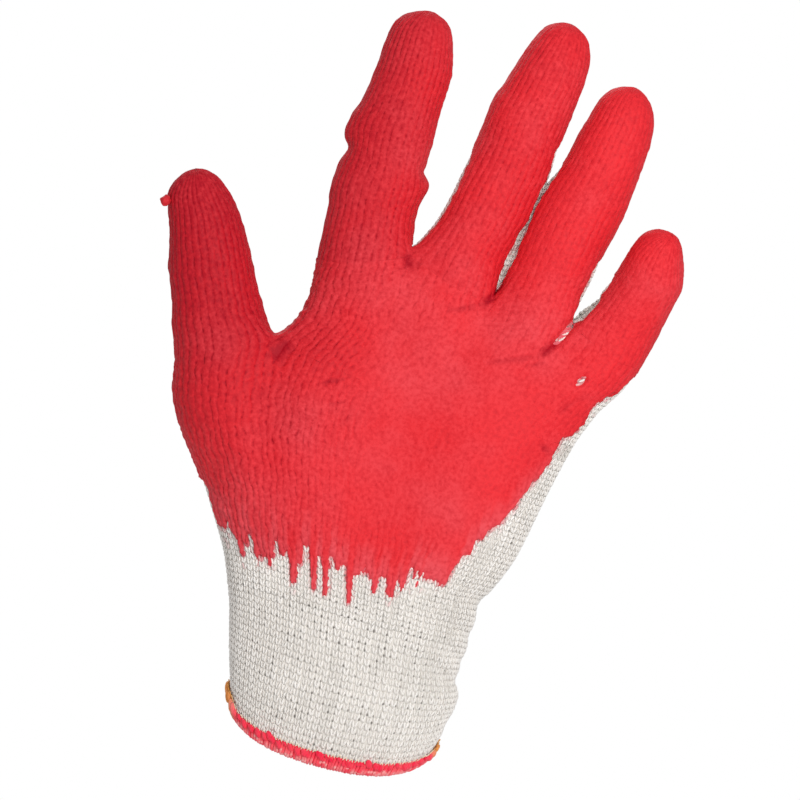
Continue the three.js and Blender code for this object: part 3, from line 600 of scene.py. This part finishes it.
def ground(name, courses):
    """The fabric behind the stitches, as a sheet on the section's skin."""
    lay = skin[name]
    flat, column, travel = sheet_for(name, lay["columns"] * 3, max(4, courses))
    if name in DIGITS:
        travel = np.minimum(travel, lay["travel"][-1] - 0.05)
    put = on_skin(name, column, travel, -GROUND_DEPTH)
    flat.vertices.foreach_set("co", put.ravel())
    reach = coat_reach(name, column, travel, put)
    wale = column * WALES_PER_COLUMN - lay["phase"]
    course = travel / lay["travel"][-1] * courses
    add_layer(flat, "yarn", "FLOAT_VECTOR", np.stack([wale, course, column * 0 + 0.5], axis=1))
    add_layer(flat, "stain", "FLOAT", ease(-1.2, 0.4, reach))
    add_layer(flat, "hidden", "FLOAT", column * 0)
    return flat


def new_group(name, inputs, outputs):
    """An empty shader node group with its sockets, and its input and output nodes."""
    group = bpy.data.node_groups.new(name, "ShaderNodeTree")
    for label, kind in inputs.items():
        group.interface.new_socket(label, in_out="INPUT", socket_type="NodeSocket" + kind)
    for label, kind in outputs.items():
        group.interface.new_socket(label, in_out="OUTPUT", socket_type="NodeSocket" + kind)
    return group, group.nodes.new("NodeGroupInput").outputs, group.nodes.new("NodeGroupOutput")


def feed(tree, node, inputs):
    """Fills a node's inputs, by label or place, with values or other nodes' outputs."""
    for label, value in inputs.items():
        if isinstance(value, bpy.types.NodeSocket):
            tree.links.new(value, node.inputs[label])
        else:
            node.inputs[label].default_value = value


def add_node(tree, kind, inputs, **settings):
    node = tree.nodes.new("ShaderNode" + kind)
    for label, value in settings.items():
        setattr(node, label, value)
    feed(tree, node, inputs)
    return node


def add_math(tree, operation, *values):
    return add_node(tree, "Math", dict(enumerate(values)), operation=operation).outputs["Value"]


def add_mix(tree, share, first, second):
    """A share of the second colour over the first."""
    inputs = {"Factor": share, "A": first, "B": second}
    return add_node(tree, "Mix", inputs, data_type="RGBA").outputs["Result"]


def add_range(tree, value, low, high, **settings):
    """A value's share of the way from low to high."""
    inputs = {"Value": value, "From Min": low, "From Max": high}
    return add_node(tree, "MapRange", inputs, **settings).outputs["Result"]


# Fine grain and broad patches, which every finish of the glove has at its own scale.
grain_group, given, result = new_group(
    "fine_grain",
    {"Place": "Vector", "Grain Scale": "Float", "Patch Scale": "Float"},
    {"Grain": "Float", "Patches": "Float"},
)
for label, scale, detail in (("Grain", "Grain Scale", 4), ("Patches", "Patch Scale", 3)):
    inputs = {"Vector": given["Place"], "Scale": given[scale], "Detail": detail}
    feed(grain_group, result, {label: add_node(grain_group, "TexNoise", inputs).outputs["Fac"]})

# Yarn of two strands twisted together, whose colour varies from stitch to stitch and may be stained.
sockets = {"Yarn": "Vector", "Turns": "Float", "Grain": "Float", "Patches": "Float", "Stain": "Float"}
sockets.update({"Light Colour": "Color", "Dark Colour": "Color", "Stain Colour": "Color"})
yarn_group, given, result = new_group("twisted_yarn", sockets, {"Colour": "Color", "Height": "Float"})
tree = yarn_group
strand = add_node(tree, "SeparateXYZ", {"Vector": given["Yarn"]}).outputs
turn = add_math(tree, "MULTIPLY", strand["Y"], given["Turns"])
turn = add_math(tree, "MULTIPLY_ADD", strand["X"], 14.0, turn)
twist = add_math(tree, "SINE", turn)
tone = add_math(tree, "MULTIPLY_ADD", strand["Z"], 0.34, -0.10)
for change, weight in ((given["Patches"], 0.75), (given["Grain"], 0.55), (twist, 0.07)):
    tone = add_math(tree, "MULTIPLY_ADD", change, weight, tone)
spread = add_range(tree, tone, 0.35, 1.0)
plain = add_mix(tree, spread, given["Dark Colour"], given["Light Colour"])
dyed = add_mix(tree, given["Stain"], plain, given["Stain Colour"])
relief = add_math(tree, "MULTIPLY_ADD", twist, 0.35, given["Grain"])
feed(tree, result, {"Colour": dyed, "Height": relief})


def new_material(name):
    """A material, its node tree and its shader."""
    material = bpy.data.materials.new(name)
    material.use_nodes = True
    return material, material.node_tree, material.node_tree.nodes["Principled BSDF"]


def add_grain(tree, grain_scale, patch_scale):
    """Grain and patches at the piece's own places."""
    place = add_node(tree, "TexCoord", {}).outputs["Object"]
    inputs = {"Place": place, "Grain Scale": grain_scale, "Patch Scale": patch_scale}
    return add_node(tree, "Group", inputs, node_tree=grain_group).outputs


def add_layer_node(tree, layer, output="Fac"):
    """What a layer of the mesh holds."""
    return add_node(tree, "Attribute", {}, attribute_name=layer).outputs[output]


def add_bump(tree, height, strength, distance):
    """Relief over a distance in millimetres."""
    inputs = {"Height": height, "Strength": strength, "Distance": distance * MM}
    return add_node(tree, "Bump", inputs).outputs["Normal"]


def yarn_material(name, light, dark, stain, turns):
    """Matt spun yarn. The stain is one colour, or the name of the layer that holds it."""
    material, tree, shader = new_material(name)
    grain = add_grain(tree, 1500, 60)
    inputs = {
        "Yarn": add_layer_node(tree, "yarn", "Vector"),
        "Turns": turns,
        "Grain": grain["Grain"],
        "Patches": grain["Patches"],
        "Light Colour": light,
        "Dark Colour": dark,
        "Stain": add_layer_node(tree, "stain"),
        "Stain Colour": add_layer_node(tree, stain, "Color") if isinstance(stain, str) else stain,
    }
    yarn = add_node(tree, "Group", inputs, node_tree=yarn_group).outputs
    feed(tree, shader, {
        "Base Color": yarn["Colour"],
        "Roughness": 0.92,
        "Specular IOR Level": 0.15,
        "Sheen Weight": 0.15,
        "Sheen Roughness": 0.6,
        "Normal": add_bump(tree, yarn["Height"], 0.5, 0.25),
    })
    return material


knit_material = yarn_material("knit_yarn", YARN_LIGHT, YARN_DARK, STAIN_COLOUR, 16)
# Painted shade: the ground is the same yarn coloured darker, standing in for the shade behind the stitches.
shaded_ground_material = yarn_material("knit_ground_painted_shade", GROUND_SHADE_LIGHT, GROUND_SHADE_DARK, STAIN_COLOUR, 2 * math.pi)

# Painted shade at the small holes in the ground: dark spots, one to a course between two wales, which only
# some wales show well.
tree = shaded_ground_material.node_tree
stitch_place = add_layer_node(tree, "yarn", "Vector")
cell = add_node(tree, "SeparateXYZ", {"Vector": stitch_place}).outputs
wale_wave = add_math(tree, "COSINE", add_math(tree, "MULTIPLY", cell["X"], 2 * math.pi))
course_turn = add_math(tree, "MULTIPLY_ADD", cell["Y"], 2 * math.pi, -HOLE_UP * 2 * math.pi)
course_wave = add_math(tree, "COSINE", course_turn)
uneven = add_node(tree, "TexNoise", {"Vector": stitch_place, "Scale": 0.6}).outputs["Fac"]
both = add_math(tree, "MULTIPLY_ADD", wale_wave, 2.6, course_wave)
painted_hole_shade = add_range(tree, add_math(tree, "MULTIPLY_ADD", uneven, 5.0, both), 5.4, 6.6)
shader = tree.nodes["Principled BSDF"]
fabric = shader.inputs["Base Color"].links[0].from_socket
feed(tree, shader, {"Base Color": add_mix(tree, painted_hole_shade, fabric, HOLE_SHADE_COLOUR)})


def shaped_object(name, mesh, materials):
    thing = new_object(name, mesh)
    for material in materials:
        mesh.materials.append(material)
    mesh.shade_smooth()
    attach(thing, "root")
    return thing


for name in LINER_SECTIONS:
    courses = round(skin[name]["travel"][-1] / COURSE_PITCH)
    sheet = bmesh.new()
    sheet.from_mesh(ground(name, courses))
    bmesh.ops.remove_doubles(sheet, verts=sheet.verts, dist=0.01 * MM)
    wall = new_object("wall", as_mesh(sheet, "wall"))
    thickness = wall.modifiers.new("Solidify", "SOLIDIFY")
    thickness.thickness = WALL_THICKNESS * MM
    thickness.offset = -1
    closed = bpy.data.meshes.new_from_object(wall.evaluated_get(bpy.context.evaluated_depsgraph_get()))
    bpy.data.objects.remove(wall)
    knit = bmesh.new()
    knit.from_mesh(stitches(name, courses))
    hidden = knit.verts.layers.float["hidden"]
    bmesh.ops.delete(knit, geom=[vert for vert in knit.verts if vert[hidden] > 0.5], context="VERTS")
    shown = len(knit.faces)
    knit.from_mesh(closed)
    knit.faces.ensure_lookup_table()
    for face in knit.faces[shown:]:
        face.material_index = 1
    mesh = as_mesh(knit, name + "_stitches")
    piece = shaped_object(name.replace("knit_", "") + "_knit", mesh, [knit_material, shaded_ground_material])
    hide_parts(name)


# The latex coat. The palm side of the liner, hand form and all, is dipped in red latex, which is
# crinkled while it sets. It follows the wales on the digits and on the ball of the thumb as lumpy
# ridges, lies smoother and finely grained in the palm, and closes round the tips of the digits.
RIDGES_PER_COLUMN = 2.5
SAMPLES_PER_RIDGE = 6
COAT_ROW = 0.79
COAT_HEIGHT = 0.75
COAT_FOOT = -0.6
COAT_LIP = (-0.6, 0.8)
THIN_EDGE = (12, 0)
THIN_BELOW = (105, 80)
RIDGE_HEIGHT = 0.44
BEAD_LENGTH = 1.7
SMOOTH_TIP = 13
GRAIN_HEIGHT = 0.13
SMOOTH_PALM = {"across": 7, "up": 92, "wide": 31, "tall": 40}
# A crease's start and end, depth, width and painted shade, which deepens the red along it.
CREASES = [
    ((-43.5, 107.5), (-48.2, 100.5), 0.5, 3.4, 1.0),
    ((-48.3, 92.6), (-48.0, 87.5), 0.2, 2.6, 0.5),
    ((-32.5, 97.5), (-24.0, 101.7), 0.22, 0.6, 0.7),
    ((-28.9, 92.1), (-23.4, 94.6), 0.2, 0.6, 0.5),
    ((-18.8, 141.2), (-15.6, 137.8), 0.5, 1.8, 1.0),
    ((-20.0, 135.9), (-12.5, 140.0), 0.25, 0.9, 0.5),
    ((11.9, 141.1), (7.6, 132.8), 0.6, 1.5, 1.0),
    ((6.4, 132.5), (-2.0, 128.6), 0.2, 0.8, 0.45),
    ((31.4, 128.3), (28.2, 123.7), 0.5, 1.5, 1.0),
    ((28.2, 123.4), (13.5, 117.1), 0.2, 0.8, 0.4),
    ((25.4, 119.6), (30.1, 122.2), 0.2, 0.7, 0.5),
    ((43.8, 116.0), (37.0, 108.8), 0.15, 0.9, 0.3),
    ((35.2, 98.2), (38.0, 96.9), 0.25, 0.7, 0.7),
    ((-21.1, 91.6), (-22.7, 87.7), 0.15, 0.8, 0.4),
]
# A finger's share of the ridges, and its painted shade: a deeper red that stands in for light falling off
# towards the thumb side.
FINGER_LOOKS = {
    "knit_index_finger": (0.85, 0.14),
    "knit_middle_finger": (0.7, 0.14),
    "knit_ring_finger": (0.55, 0.05),
    "knit_little_finger": (0.45, 0.05),
}
LATEX_BRIGHT = (0.77, 0.020, 0.028, 1)
# The deepest red serves the grain's specks and random tone, and painted shade in the ridge valleys, the
# creases and towards the thumb side.
LATEX_TONE_AND_SHADE = (0.39, 0.0, 0.010, 1)
LATEX_BLOOM = (0.77, 0.070, 0.086, 1)


def coat_surface(name, column, travel, place):
    """The latex's height over the skin, its ridge lines, how ridged it is, and how deep its red is: painted
    shade towards the thumb side, on the fingers and in the creases, with a little random tone.
    """
    across, up = as_seen(place)
    ridges, painted_finger_shade = FINGER_LOOKS.get(name, (1, 0))
    if name not in DIGITS:
        over = (across - SMOOTH_PALM["across"]) / SMOOTH_PALM["wide"]
        above = (up - SMOOTH_PALM["up"]) / SMOOTH_PALM["tall"]
        ridged = (1 - 0.88 * np.exp(-over ** 4 - above ** 4)) * (1 - 0.5 * ease(20, 45, across))
    else:
        ridged = (0.45 + 0.55 * ease(2, SMOOTH_TIP, skin[name]["travel"][-1] - travel)) * ridges
    ridged = ridged * (0.85 + 0.35 * clouds(place, 11, 6))
    unsteady = 0.5 if name in DIGITS else 1
    wander = clouds(place, 6, 7) * 0.45 + clouds(place, 2.4, 8) * 0.3
    line = column * RIDGES_PER_COLUMN + wander * unsteady ** 1.2
    wave = np.abs(np.sin(line * math.pi)) ** 0.8
    number = np.floor(line)
    paced = travel / (BEAD_LENGTH * (2 - unsteady))
    beads = [noise.noise((a * 7.7, b, 0)) for a, b in zip(number.tolist(), paced.tolist())]
    lumpy = 0.75 + (0.1 + 1.2 * unsteady) * np.array(beads)
    height = COAT_HEIGHT + RIDGE_HEIGHT * ridged * (wave * lumpy - 0.45)
    height = height + GRAIN_HEIGHT * (1.15 - 0.6 * ridged) * clouds(place, 1.25, 10)
    height = height + 0.07 * clouds(place, 2.6, 11) + 0.14 * clouds(place, 9, 12)
    # Painted shade: the red deepens towards the thumb side and on the fingers, standing in for light that
    # falls off away from the key light; a little random tone is added.
    painted_thumb_side_shade = np.clip(-12 - across, 0, None) * (0.006 + 0.006 * ease(70, 125, up))
    deep = np.clip(painted_thumb_side_shade + painted_finger_shade + 0.10 * clouds(place, 14, 15), 0, 0.7)
    bent = clouds(place, 5, 13) * 0.6
    front = place[:, 1] < 0
    # Painted shade in the creases: each crease sinks the surface and also deepens the red along it.
    for start, end, depth, wide, dark in CREASES:
        away, share = from_line(across, up, start, end)
        inside = np.exp(-((away + bent) / wide) ** 2) * front * (1 - 0.6 * np.abs(share * 2 - 1) ** 3)
        height = height - depth * inside
        deep = np.maximum(deep, dark * inside)
    return height, line, np.clip(ridged, 0, 1), deep


coat = bmesh.new()
for name in LINER_SECTIONS[1:]:
    lay = skin[name]
    across = round(lay["columns"] * RIDGES_PER_COLUMN * SAMPLES_PER_RIDGE)
    flat, column, travel = sheet_for(name, across, round(lay["travel"][-1] / COAT_ROW))
    place = on_skin(name, column, travel)
    near = coat_reach(name, column, travel, place)
    height, line, ridged, deep = coat_surface(name, np.mod(column, lay["columns"]), travel, place)
    height = COAT_FOOT + (height - COAT_FOOT) * ease(*COAT_LIP, near)
    put = on_skin(name, column, travel, height)
    flat.vertices.foreach_set("co", put.ravel())
    thin = ease(*THIN_EDGE, near) * ease(*THIN_BELOW, put[:, 2] / MM)
    for layer, values in (("reach", near), ("ridged", ridged), ("deep", deep), ("thin", thin)):
        add_layer(flat, layer, "FLOAT", values)
    corner_vertex = read_numbers(flat.loops, "vertex_index")
    line = line + (column >= lay["columns"]) * lay["columns"] * RIDGES_PER_COLUMN
    lines = flat.uv_layers.new(name="lines")
    lines.data.foreach_set("uv", np.stack([line[corner_vertex], travel[corner_vertex]], axis=1).ravel())
    coat.from_mesh(flat)
    bpy.data.meshes.remove(flat)
reach = coat.verts.layers.float["reach"]
bare = [face for face in coat.faces if max(vert[reach] for vert in face.verts) < COAT_LIP[0]]
bmesh.ops.delete(coat, geom=bare, context="FACES")
bmesh.ops.remove_doubles(coat, verts=coat.verts, dist=0.02 * MM)
coat_mesh = as_mesh(coat, "latex_skin")

latex, tree, shader = new_material("latex")
grain = add_grain(tree, 900, 45)
lines = add_node(tree, "UVMap", {}, uv_map="lines").outputs["UV"]
along = add_node(tree, "SeparateXYZ", {"Vector": lines}).outputs["X"]
angle = add_math(tree, "MULTIPLY", along, math.pi)
wave = add_math(tree, "ABSOLUTE", add_math(tree, "SINE", angle))
valley = add_range(tree, wave, 0.62, 0.0, interpolation_type="SMOOTHSTEP")
stretched = add_node(tree, "Mapping", {"Vector": lines, "Scale": (1.0, 0.8, 1.0)}).outputs["Vector"]
broken = add_node(tree, "TexNoise", {"Vector": stretched, "Scale": 0.9, "Detail": 2}).outputs["Fac"]
# Painted shade: dark lines along the valleys between the ridges, broken into dashes; the same lines also
# sink the bump.
shaded_valley_lines = add_math(tree, "MULTIPLY", valley, add_range(tree, broken, 0.38, 0.66))
shaded_valley_lines = add_math(tree, "MULTIPLY", shaded_valley_lines, add_layer_node(tree, "ridged"))
speck = add_math(tree, "MULTIPLY_ADD", grain["Grain"], -1.2, 0.68)
# The deep red mixes painted shade, from the valley lines and from the deep layer, with random grain specks
# and tone.
dark = add_math(tree, "MULTIPLY_ADD", shaded_valley_lines, 0.50, speck)
dark = add_math(tree, "ADD", dark, add_layer_node(tree, "deep"))
dark = add_node(tree, "Clamp", {"Value": dark}).outputs["Result"]
pale = add_math(tree, "MULTIPLY_ADD", grain["Grain"], 0.35, grain["Patches"])
pale = add_math(tree, "MULTIPLY_ADD", add_layer_node(tree, "thin"), 0.42, pale)
fresh = add_mix(tree, add_range(tree, pale, 0.60, 1.15), LATEX_BRIGHT, LATEX_BLOOM)
rough = add_node(tree, "MapRange", {"Value": grain["Patches"], "To Min": 0.52, "To Max": 0.78})
relief = add_math(tree, "MULTIPLY_ADD", shaded_valley_lines, -0.9, grain["Grain"])
feed(tree, shader, {
    "Base Color": add_mix(tree, dark, fresh, LATEX_TONE_AND_SHADE),
    "Roughness": rough.outputs["Result"],
    "Specular IOR Level": 0.2,
    "Normal": add_bump(tree, relief, 0.6, 0.35),
})
coat_piece = shaped_object("latex_skin", coat_mesh, [latex])
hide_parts("latex_coat")


# The overlocked hem. The cuff's raw edge is bound by an overlock machine with thick red yarn: strands
# wrap round the edge, their heads lie in a row of fat loops along its top, and a fine cream thread
# catches them there. At both sides of the wrist a yellow yarn shows in the binding.
HEM_ROUND = 1.15
HEM_TALL = 3.1
HEM_INSET = 0.55
HEM_LOOPS = 92
STRANDS_PER_LOOP = 2
HEM_LIGHT = (0.98, 0.10, 0.13, 1)
HEM_DARK = (0.90, 0.004, 0.05, 1)
SLEEVE_TONE = -0.6
PALE_PINK = (0.95, 0.50, 0.47, 1)
CREAM = (0.92, 0.84, 0.64, 1)
GOLD = (0.80, 0.36, 0.07, 1)
GOLD_REACH = [3.4, 2.2]
GOLD_RISE = [0.5, 0.1]


def round_hem(along, around, proud):
    """Places round the cuff's edge: columns along it, millimetres around it, outside first, and above."""
    lay = skin["knit_wrist_cuff"]
    u = np.mod(along, lay["columns"]) * FINE
    left = np.floor(u).astype(int)
    share = (u - left)[:, None]
    edge, second, out = (
        grid[row, left] * (1 - share) + grid[row, left + 1] * share
        for grid, row in ((lay["place"], 0), (lay["place"], 3), (lay["normal"], 0))
    )
    out /= np.linalg.norm(out, axis=1)[:, None]
    down = edge - second
    down /= np.linalg.norm(down, axis=1)[:, None]
    quarter = HEM_ROUND * math.pi / 2
    angle = np.clip(around, -quarter, quarter) / HEM_ROUND
    straight = np.abs(around) - np.minimum(np.abs(around), quarter)
    aside = (HEM_ROUND + proud) * np.sin(angle) - HEM_INSET
    below = (HEM_ROUND + proud) * np.cos(angle) - straight
    return edge + out * (aside[:, None] * MM) + down * (below[:, None] * MM)


hem_columns = skin["knit_wrist_cuff"]["columns"]
hem_pitch = hem_columns / HEM_LOOPS
hem_top = HEM_TALL + HEM_ROUND * math.pi / 2
hem_edge = skin["knit_wrist_cuff"]["place"][0, :-1]
gold_columns = [hem_edge[:, 0].argmin() / FINE, hem_edge[:, 0].argmax() / FINE]


def hem_part(mesh, along, around, proud, tone, stain, dye):
    """Bends a flat part of the binding round the cuff's edge and gives it its colours."""
    along, around, proud = (np.ravel(each) for each in (along, around, proud))
    size = len(along)
    gold = np.zeros(size)
    rise = np.zeros(size)
    for column, reach, more in zip(gold_columns, GOLD_REACH, GOLD_RISE):
        step = np.abs(np.mod(along, hem_columns) - column)
        here = ease(reach, reach * 0.5, np.minimum(step, hem_columns - step))
        gold = np.maximum(gold, here)
        rise = rise + more * here
    mesh.vertices.foreach_set("co", round_hem(along, around * (1 + rise), proud).ravel())
    dyes = np.broadcast_to(np.array(dye), (size, 4)) * (1 - gold[:, None]) + np.array(GOLD) * gold[:, None]
    add_layer(mesh, "yarn", "FLOAT_VECTOR", np.stack([along * 3, around * 0.4, np.ravel(tone)], axis=1))
    add_layer(mesh, "stain", "FLOAT", np.maximum(np.ravel(stain), gold * 0.85))
    add_layer(mesh, "dye", "FLOAT_COLOR", dyes)
    return mesh


def strand_mesh(count, cuts, sides):
    """Upright strands of length one, side by side, each cut along its length."""
    strand = bmesh.new()
    bmesh.ops.create_cone(strand, cap_ends=True, segments=sides, radius1=1, radius2=1, depth=1)
    tall = [edge for edge in strand.edges if abs(edge.verts[0].co.z - edge.verts[1].co.z) > 0.5]
    bmesh.ops.subdivide_edges(strand, edges=tall, cuts=cuts)
    row = repeated(as_mesh(strand, "strand"), count, 1)
    spots = read_vectors(row.vertices, "co").reshape(count, -1, 3)
    number = np.arange(count)[:, None]
    return row, number, spots[:, :, 0] - number, spots[:, :, 1], spots[:, :, 2]


sleeve_grid = bmesh.new()
bmesh.ops.create_grid(sleeve_grid, x_segments=HEM_LOOPS * 2, y_segments=18, size=0.5)
sleeve = as_mesh(sleeve_grid, "hem_sleeve")
spots = read_vectors(sleeve.vertices, "co")
around = spots[:, 1] * 2 * (hem_top - 0.5)
flat_zero = spots[:, 0] * 0
parts = [hem_part(sleeve, (spots[:, 0] + 0.5) * hem_columns, around, flat_zero + 0.02,
                  flat_zero + SLEEVE_TONE, flat_zero, PALE_PINK)]

count = HEM_LOOPS * STRANDS_PER_LOOP
strands, number, wide, thick, share = strand_mesh(count, 30, 6)
girth = rng.uniform(0.48, 0.64, count)[:, None] * (1 - 0.3 * np.abs(share * 2) ** 6)
along = number + 0.5 + rng.normal(0, 0.10, count)[:, None] + 0.9 * share + wide * girth * 0.92
around = share * 2 * (hem_top - 0.9) + rng.normal(0, 0.15, count)[:, None]
proud = 0.16 + thick * girth * 0.7 + rng.normal(0, 0.05, count)[:, None]
tone = rng.uniform(0.3, 1.0, count)[:, None] + share * 0
fleck_middle = rng.uniform(0.10, 0.24, count)[:, None]
fleck_size = rng.uniform(0.02, 0.07, count)[:, None]
flecked = (rng.uniform(0, 1, count) > 0.4)[:, None]
fleck = ease(fleck_size, fleck_size * 0.4, np.abs(share - fleck_middle)) * flecked * 0.7
paler = ease(0.34, 0.2, share) * ease(-0.1, 0.08, share) * rng.uniform(0, 0.4, count)[:, None]
fleck = np.maximum(fleck, paler)
parts.append(hem_part(strands, along * hem_pitch / STRANDS_PER_LOOP, around, proud, tone, fleck, PALE_PINK))

head = bmesh.new()
bmesh.ops.create_uvsphere(head, u_segments=9, v_segments=7, radius=1)
heads = repeated(as_mesh(head, "head"), HEM_LOOPS, 1)
spots = read_vectors(heads.vertices, "co").reshape(HEM_LOOPS, -1, 3)
number = np.arange(HEM_LOOPS)[:, None]
wide = spots[:, :, 0] - number
size = rng.uniform(0.5, 1.15, HEM_LOOPS)[:, None]
along = (number + 0.5 + rng.normal(0, 0.25, HEM_LOOPS)[:, None]) * hem_pitch + wide * 0.28 * size
around = hem_top - 1.4 + rng.normal(0, 0.42, HEM_LOOPS)[:, None] + (spots[:, :, 1] * 1.1 - wide * 0.5) * size
proud = 0.60 + spots[:, :, 2] * 0.72 * size
tone = rng.uniform(-0.25, 0.35, HEM_LOOPS)[:, None] + wide * 0
parts.append(hem_part(heads, along, around, proud, tone, wide * 0, PALE_PINK))

threads, number, wide, thick, share = strand_mesh(HEM_LOOPS, 7, 5)
arch = np.cos(share * 2 * math.pi)
slope = np.sin(share * 2 * math.pi)
along = (number + 0.5 + share * 0.8 + wide * 0.08 * slope) * hem_pitch
around = hem_top - 0.5 + arch * 0.5 + wide * 0.14 + rng.normal(0, 0.2, HEM_LOOPS)[:, None]
proud = 0.18 + arch * 0.12 + thick * 0.14
parts.append(hem_part(threads, along, around, proud, wide * 0, wide * 0 + 1, CREAM))

hem = bmesh.new()
for part in parts:
    hem.from_mesh(part)
    bmesh.ops.remove_doubles(hem, verts=hem.verts, dist=0.001 * MM)
hem_mesh = as_mesh(hem, "overlock_binding")
hem_yarn = yarn_material("hem_yarn", HEM_LIGHT, HEM_DARK, "dye", 20)
hem_piece = shaped_object("overlock_binding", hem_mesh, [hem_yarn])
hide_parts("overlock_hem")


# The yarn end on the thumb. Where the machine closed the thumb, the end of the yarn stands out as a
# small pointed knot, and the latex covered it.
low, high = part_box("thumb_yarn_end")
knot = bmesh.new()
bmesh.ops.create_icosphere(knot, subdivisions=4, radius=0.5)
for vert in knot.verts:
    outward_share = max(0.0, -vert.co.x * 2)
    vert.co *= 1 + 0.18 * noise.noise(vert.co * 4)
    vert.co.y *= 1 - 0.7 * outward_share ** 2
    vert.co.z = vert.co.z * (1 - 0.7 * outward_share ** 2) + 0.10
    vert.co = (low + high) / 2 + Vector(c * s for c, s in zip(vert.co, high - low))
knot_mesh = as_mesh(knot, "yarn_knot")
for layer, value in (("ridged", 0.0), ("deep", 0.35), ("thin", 0.0)):
    add_layer(knot_mesh, layer, "FLOAT", np.full(len(knot_mesh.vertices), value))
knot_piece = shaped_object("yarn_knot", knot_mesh, [latex])
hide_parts("thumb_yarn_end")


# The white setting, the soft studio light and the camera, which looks level at the palm and leans
# sixteen degrees, as the photographed glove does. The light comes from the little finger's side.
FLOOR_UP = -0.30
LEAN = math.radians(16)
LENS = 153
KEY_POWER = 2.0
BACK_POWER = 5
FILL_STRENGTH = 0.53
PLAIN_WHITE = (1, 1, 1, 1)
FILL_WHITE = (0.97, 0.98, 1, 1)
FLOOR_WHITE = (0.9, 0.9, 0.9, 1)
floor = bmesh.new()
bmesh.ops.create_circle(floor, cap_ends=True, segments=96, radius=12)
bmesh.ops.translate(floor, verts=floor.verts, vec=(0, 0, FLOOR_UP))
floor_mesh = as_mesh(floor, "floor")
floor_piece = new_object("floor", floor_mesh)


def show_apart(tree, lit, seen, output):
    """Shows one shader to the camera, and lets the other one light the glove."""
    camera_ray = add_node(tree, "LightPath", {}).outputs["Is Camera Ray"]
    either = add_node(tree, "MixShader", {0: camera_ray, 1: lit, 2: seen})
    feed(tree, tree.nodes[output], {"Surface": either.outputs["Shader"]})


pale_floor, tree, shader = new_material("pale_floor")
feed(tree, shader, {"Base Color": FLOOR_WHITE, "Roughness": 0.9})
white = add_node(tree, "Emission", {})
show_apart(tree, shader.outputs["BSDF"], white.outputs["Emission"], "Material Output")
floor_mesh.materials.append(pale_floor)

world = bpy.data.worlds.new("white_room")
bpy.context.scene.world = world
world.use_nodes = True
tree = world.node_tree
seen = tree.nodes["Background"]
feed(tree, seen, {"Color": PLAIN_WHITE, "Strength": 1.0})
fill = add_node(tree, "Background", {"Color": FILL_WHITE, "Strength": FILL_STRENGTH})
show_apart(tree, fill.outputs["Background"], seen.outputs["Background"], "World Output")


def softbox(name, place, target, size, power):
    light = bpy.data.lights.new(name, "AREA")
    light.size = size
    light.energy = power
    lamp = new_object(name, light)
    lamp.location = place
    lamp.rotation_euler = (Vector(target) - Vector(place)).to_track_quat("-Z", "Y").to_euler()
    lamp.visible_camera = False


softbox("key_light", (0.14, -0.50, 0.24), (0, 0, 0.1), 0.30, KEY_POWER)
softbox("back_light", (-0.5, 0.9, 0.8), (0, 0, 0.1), 0.6, BACK_POWER)

camera_data = bpy.data.cameras.new("camera")
camera_data.lens = LENS
camera_data.sensor_width = 36
camera = new_object("camera", camera_data)
camera.location = (EYE_LEVEL[0] * MM, -EYE_AWAY, EYE_LEVEL[1] * MM)
camera.rotation_euler = (math.pi / 2, -LEAN, 0)
bpy.context.scene.camera = camera
bpy.context.scene.view_settings.view_transform = "Standard"
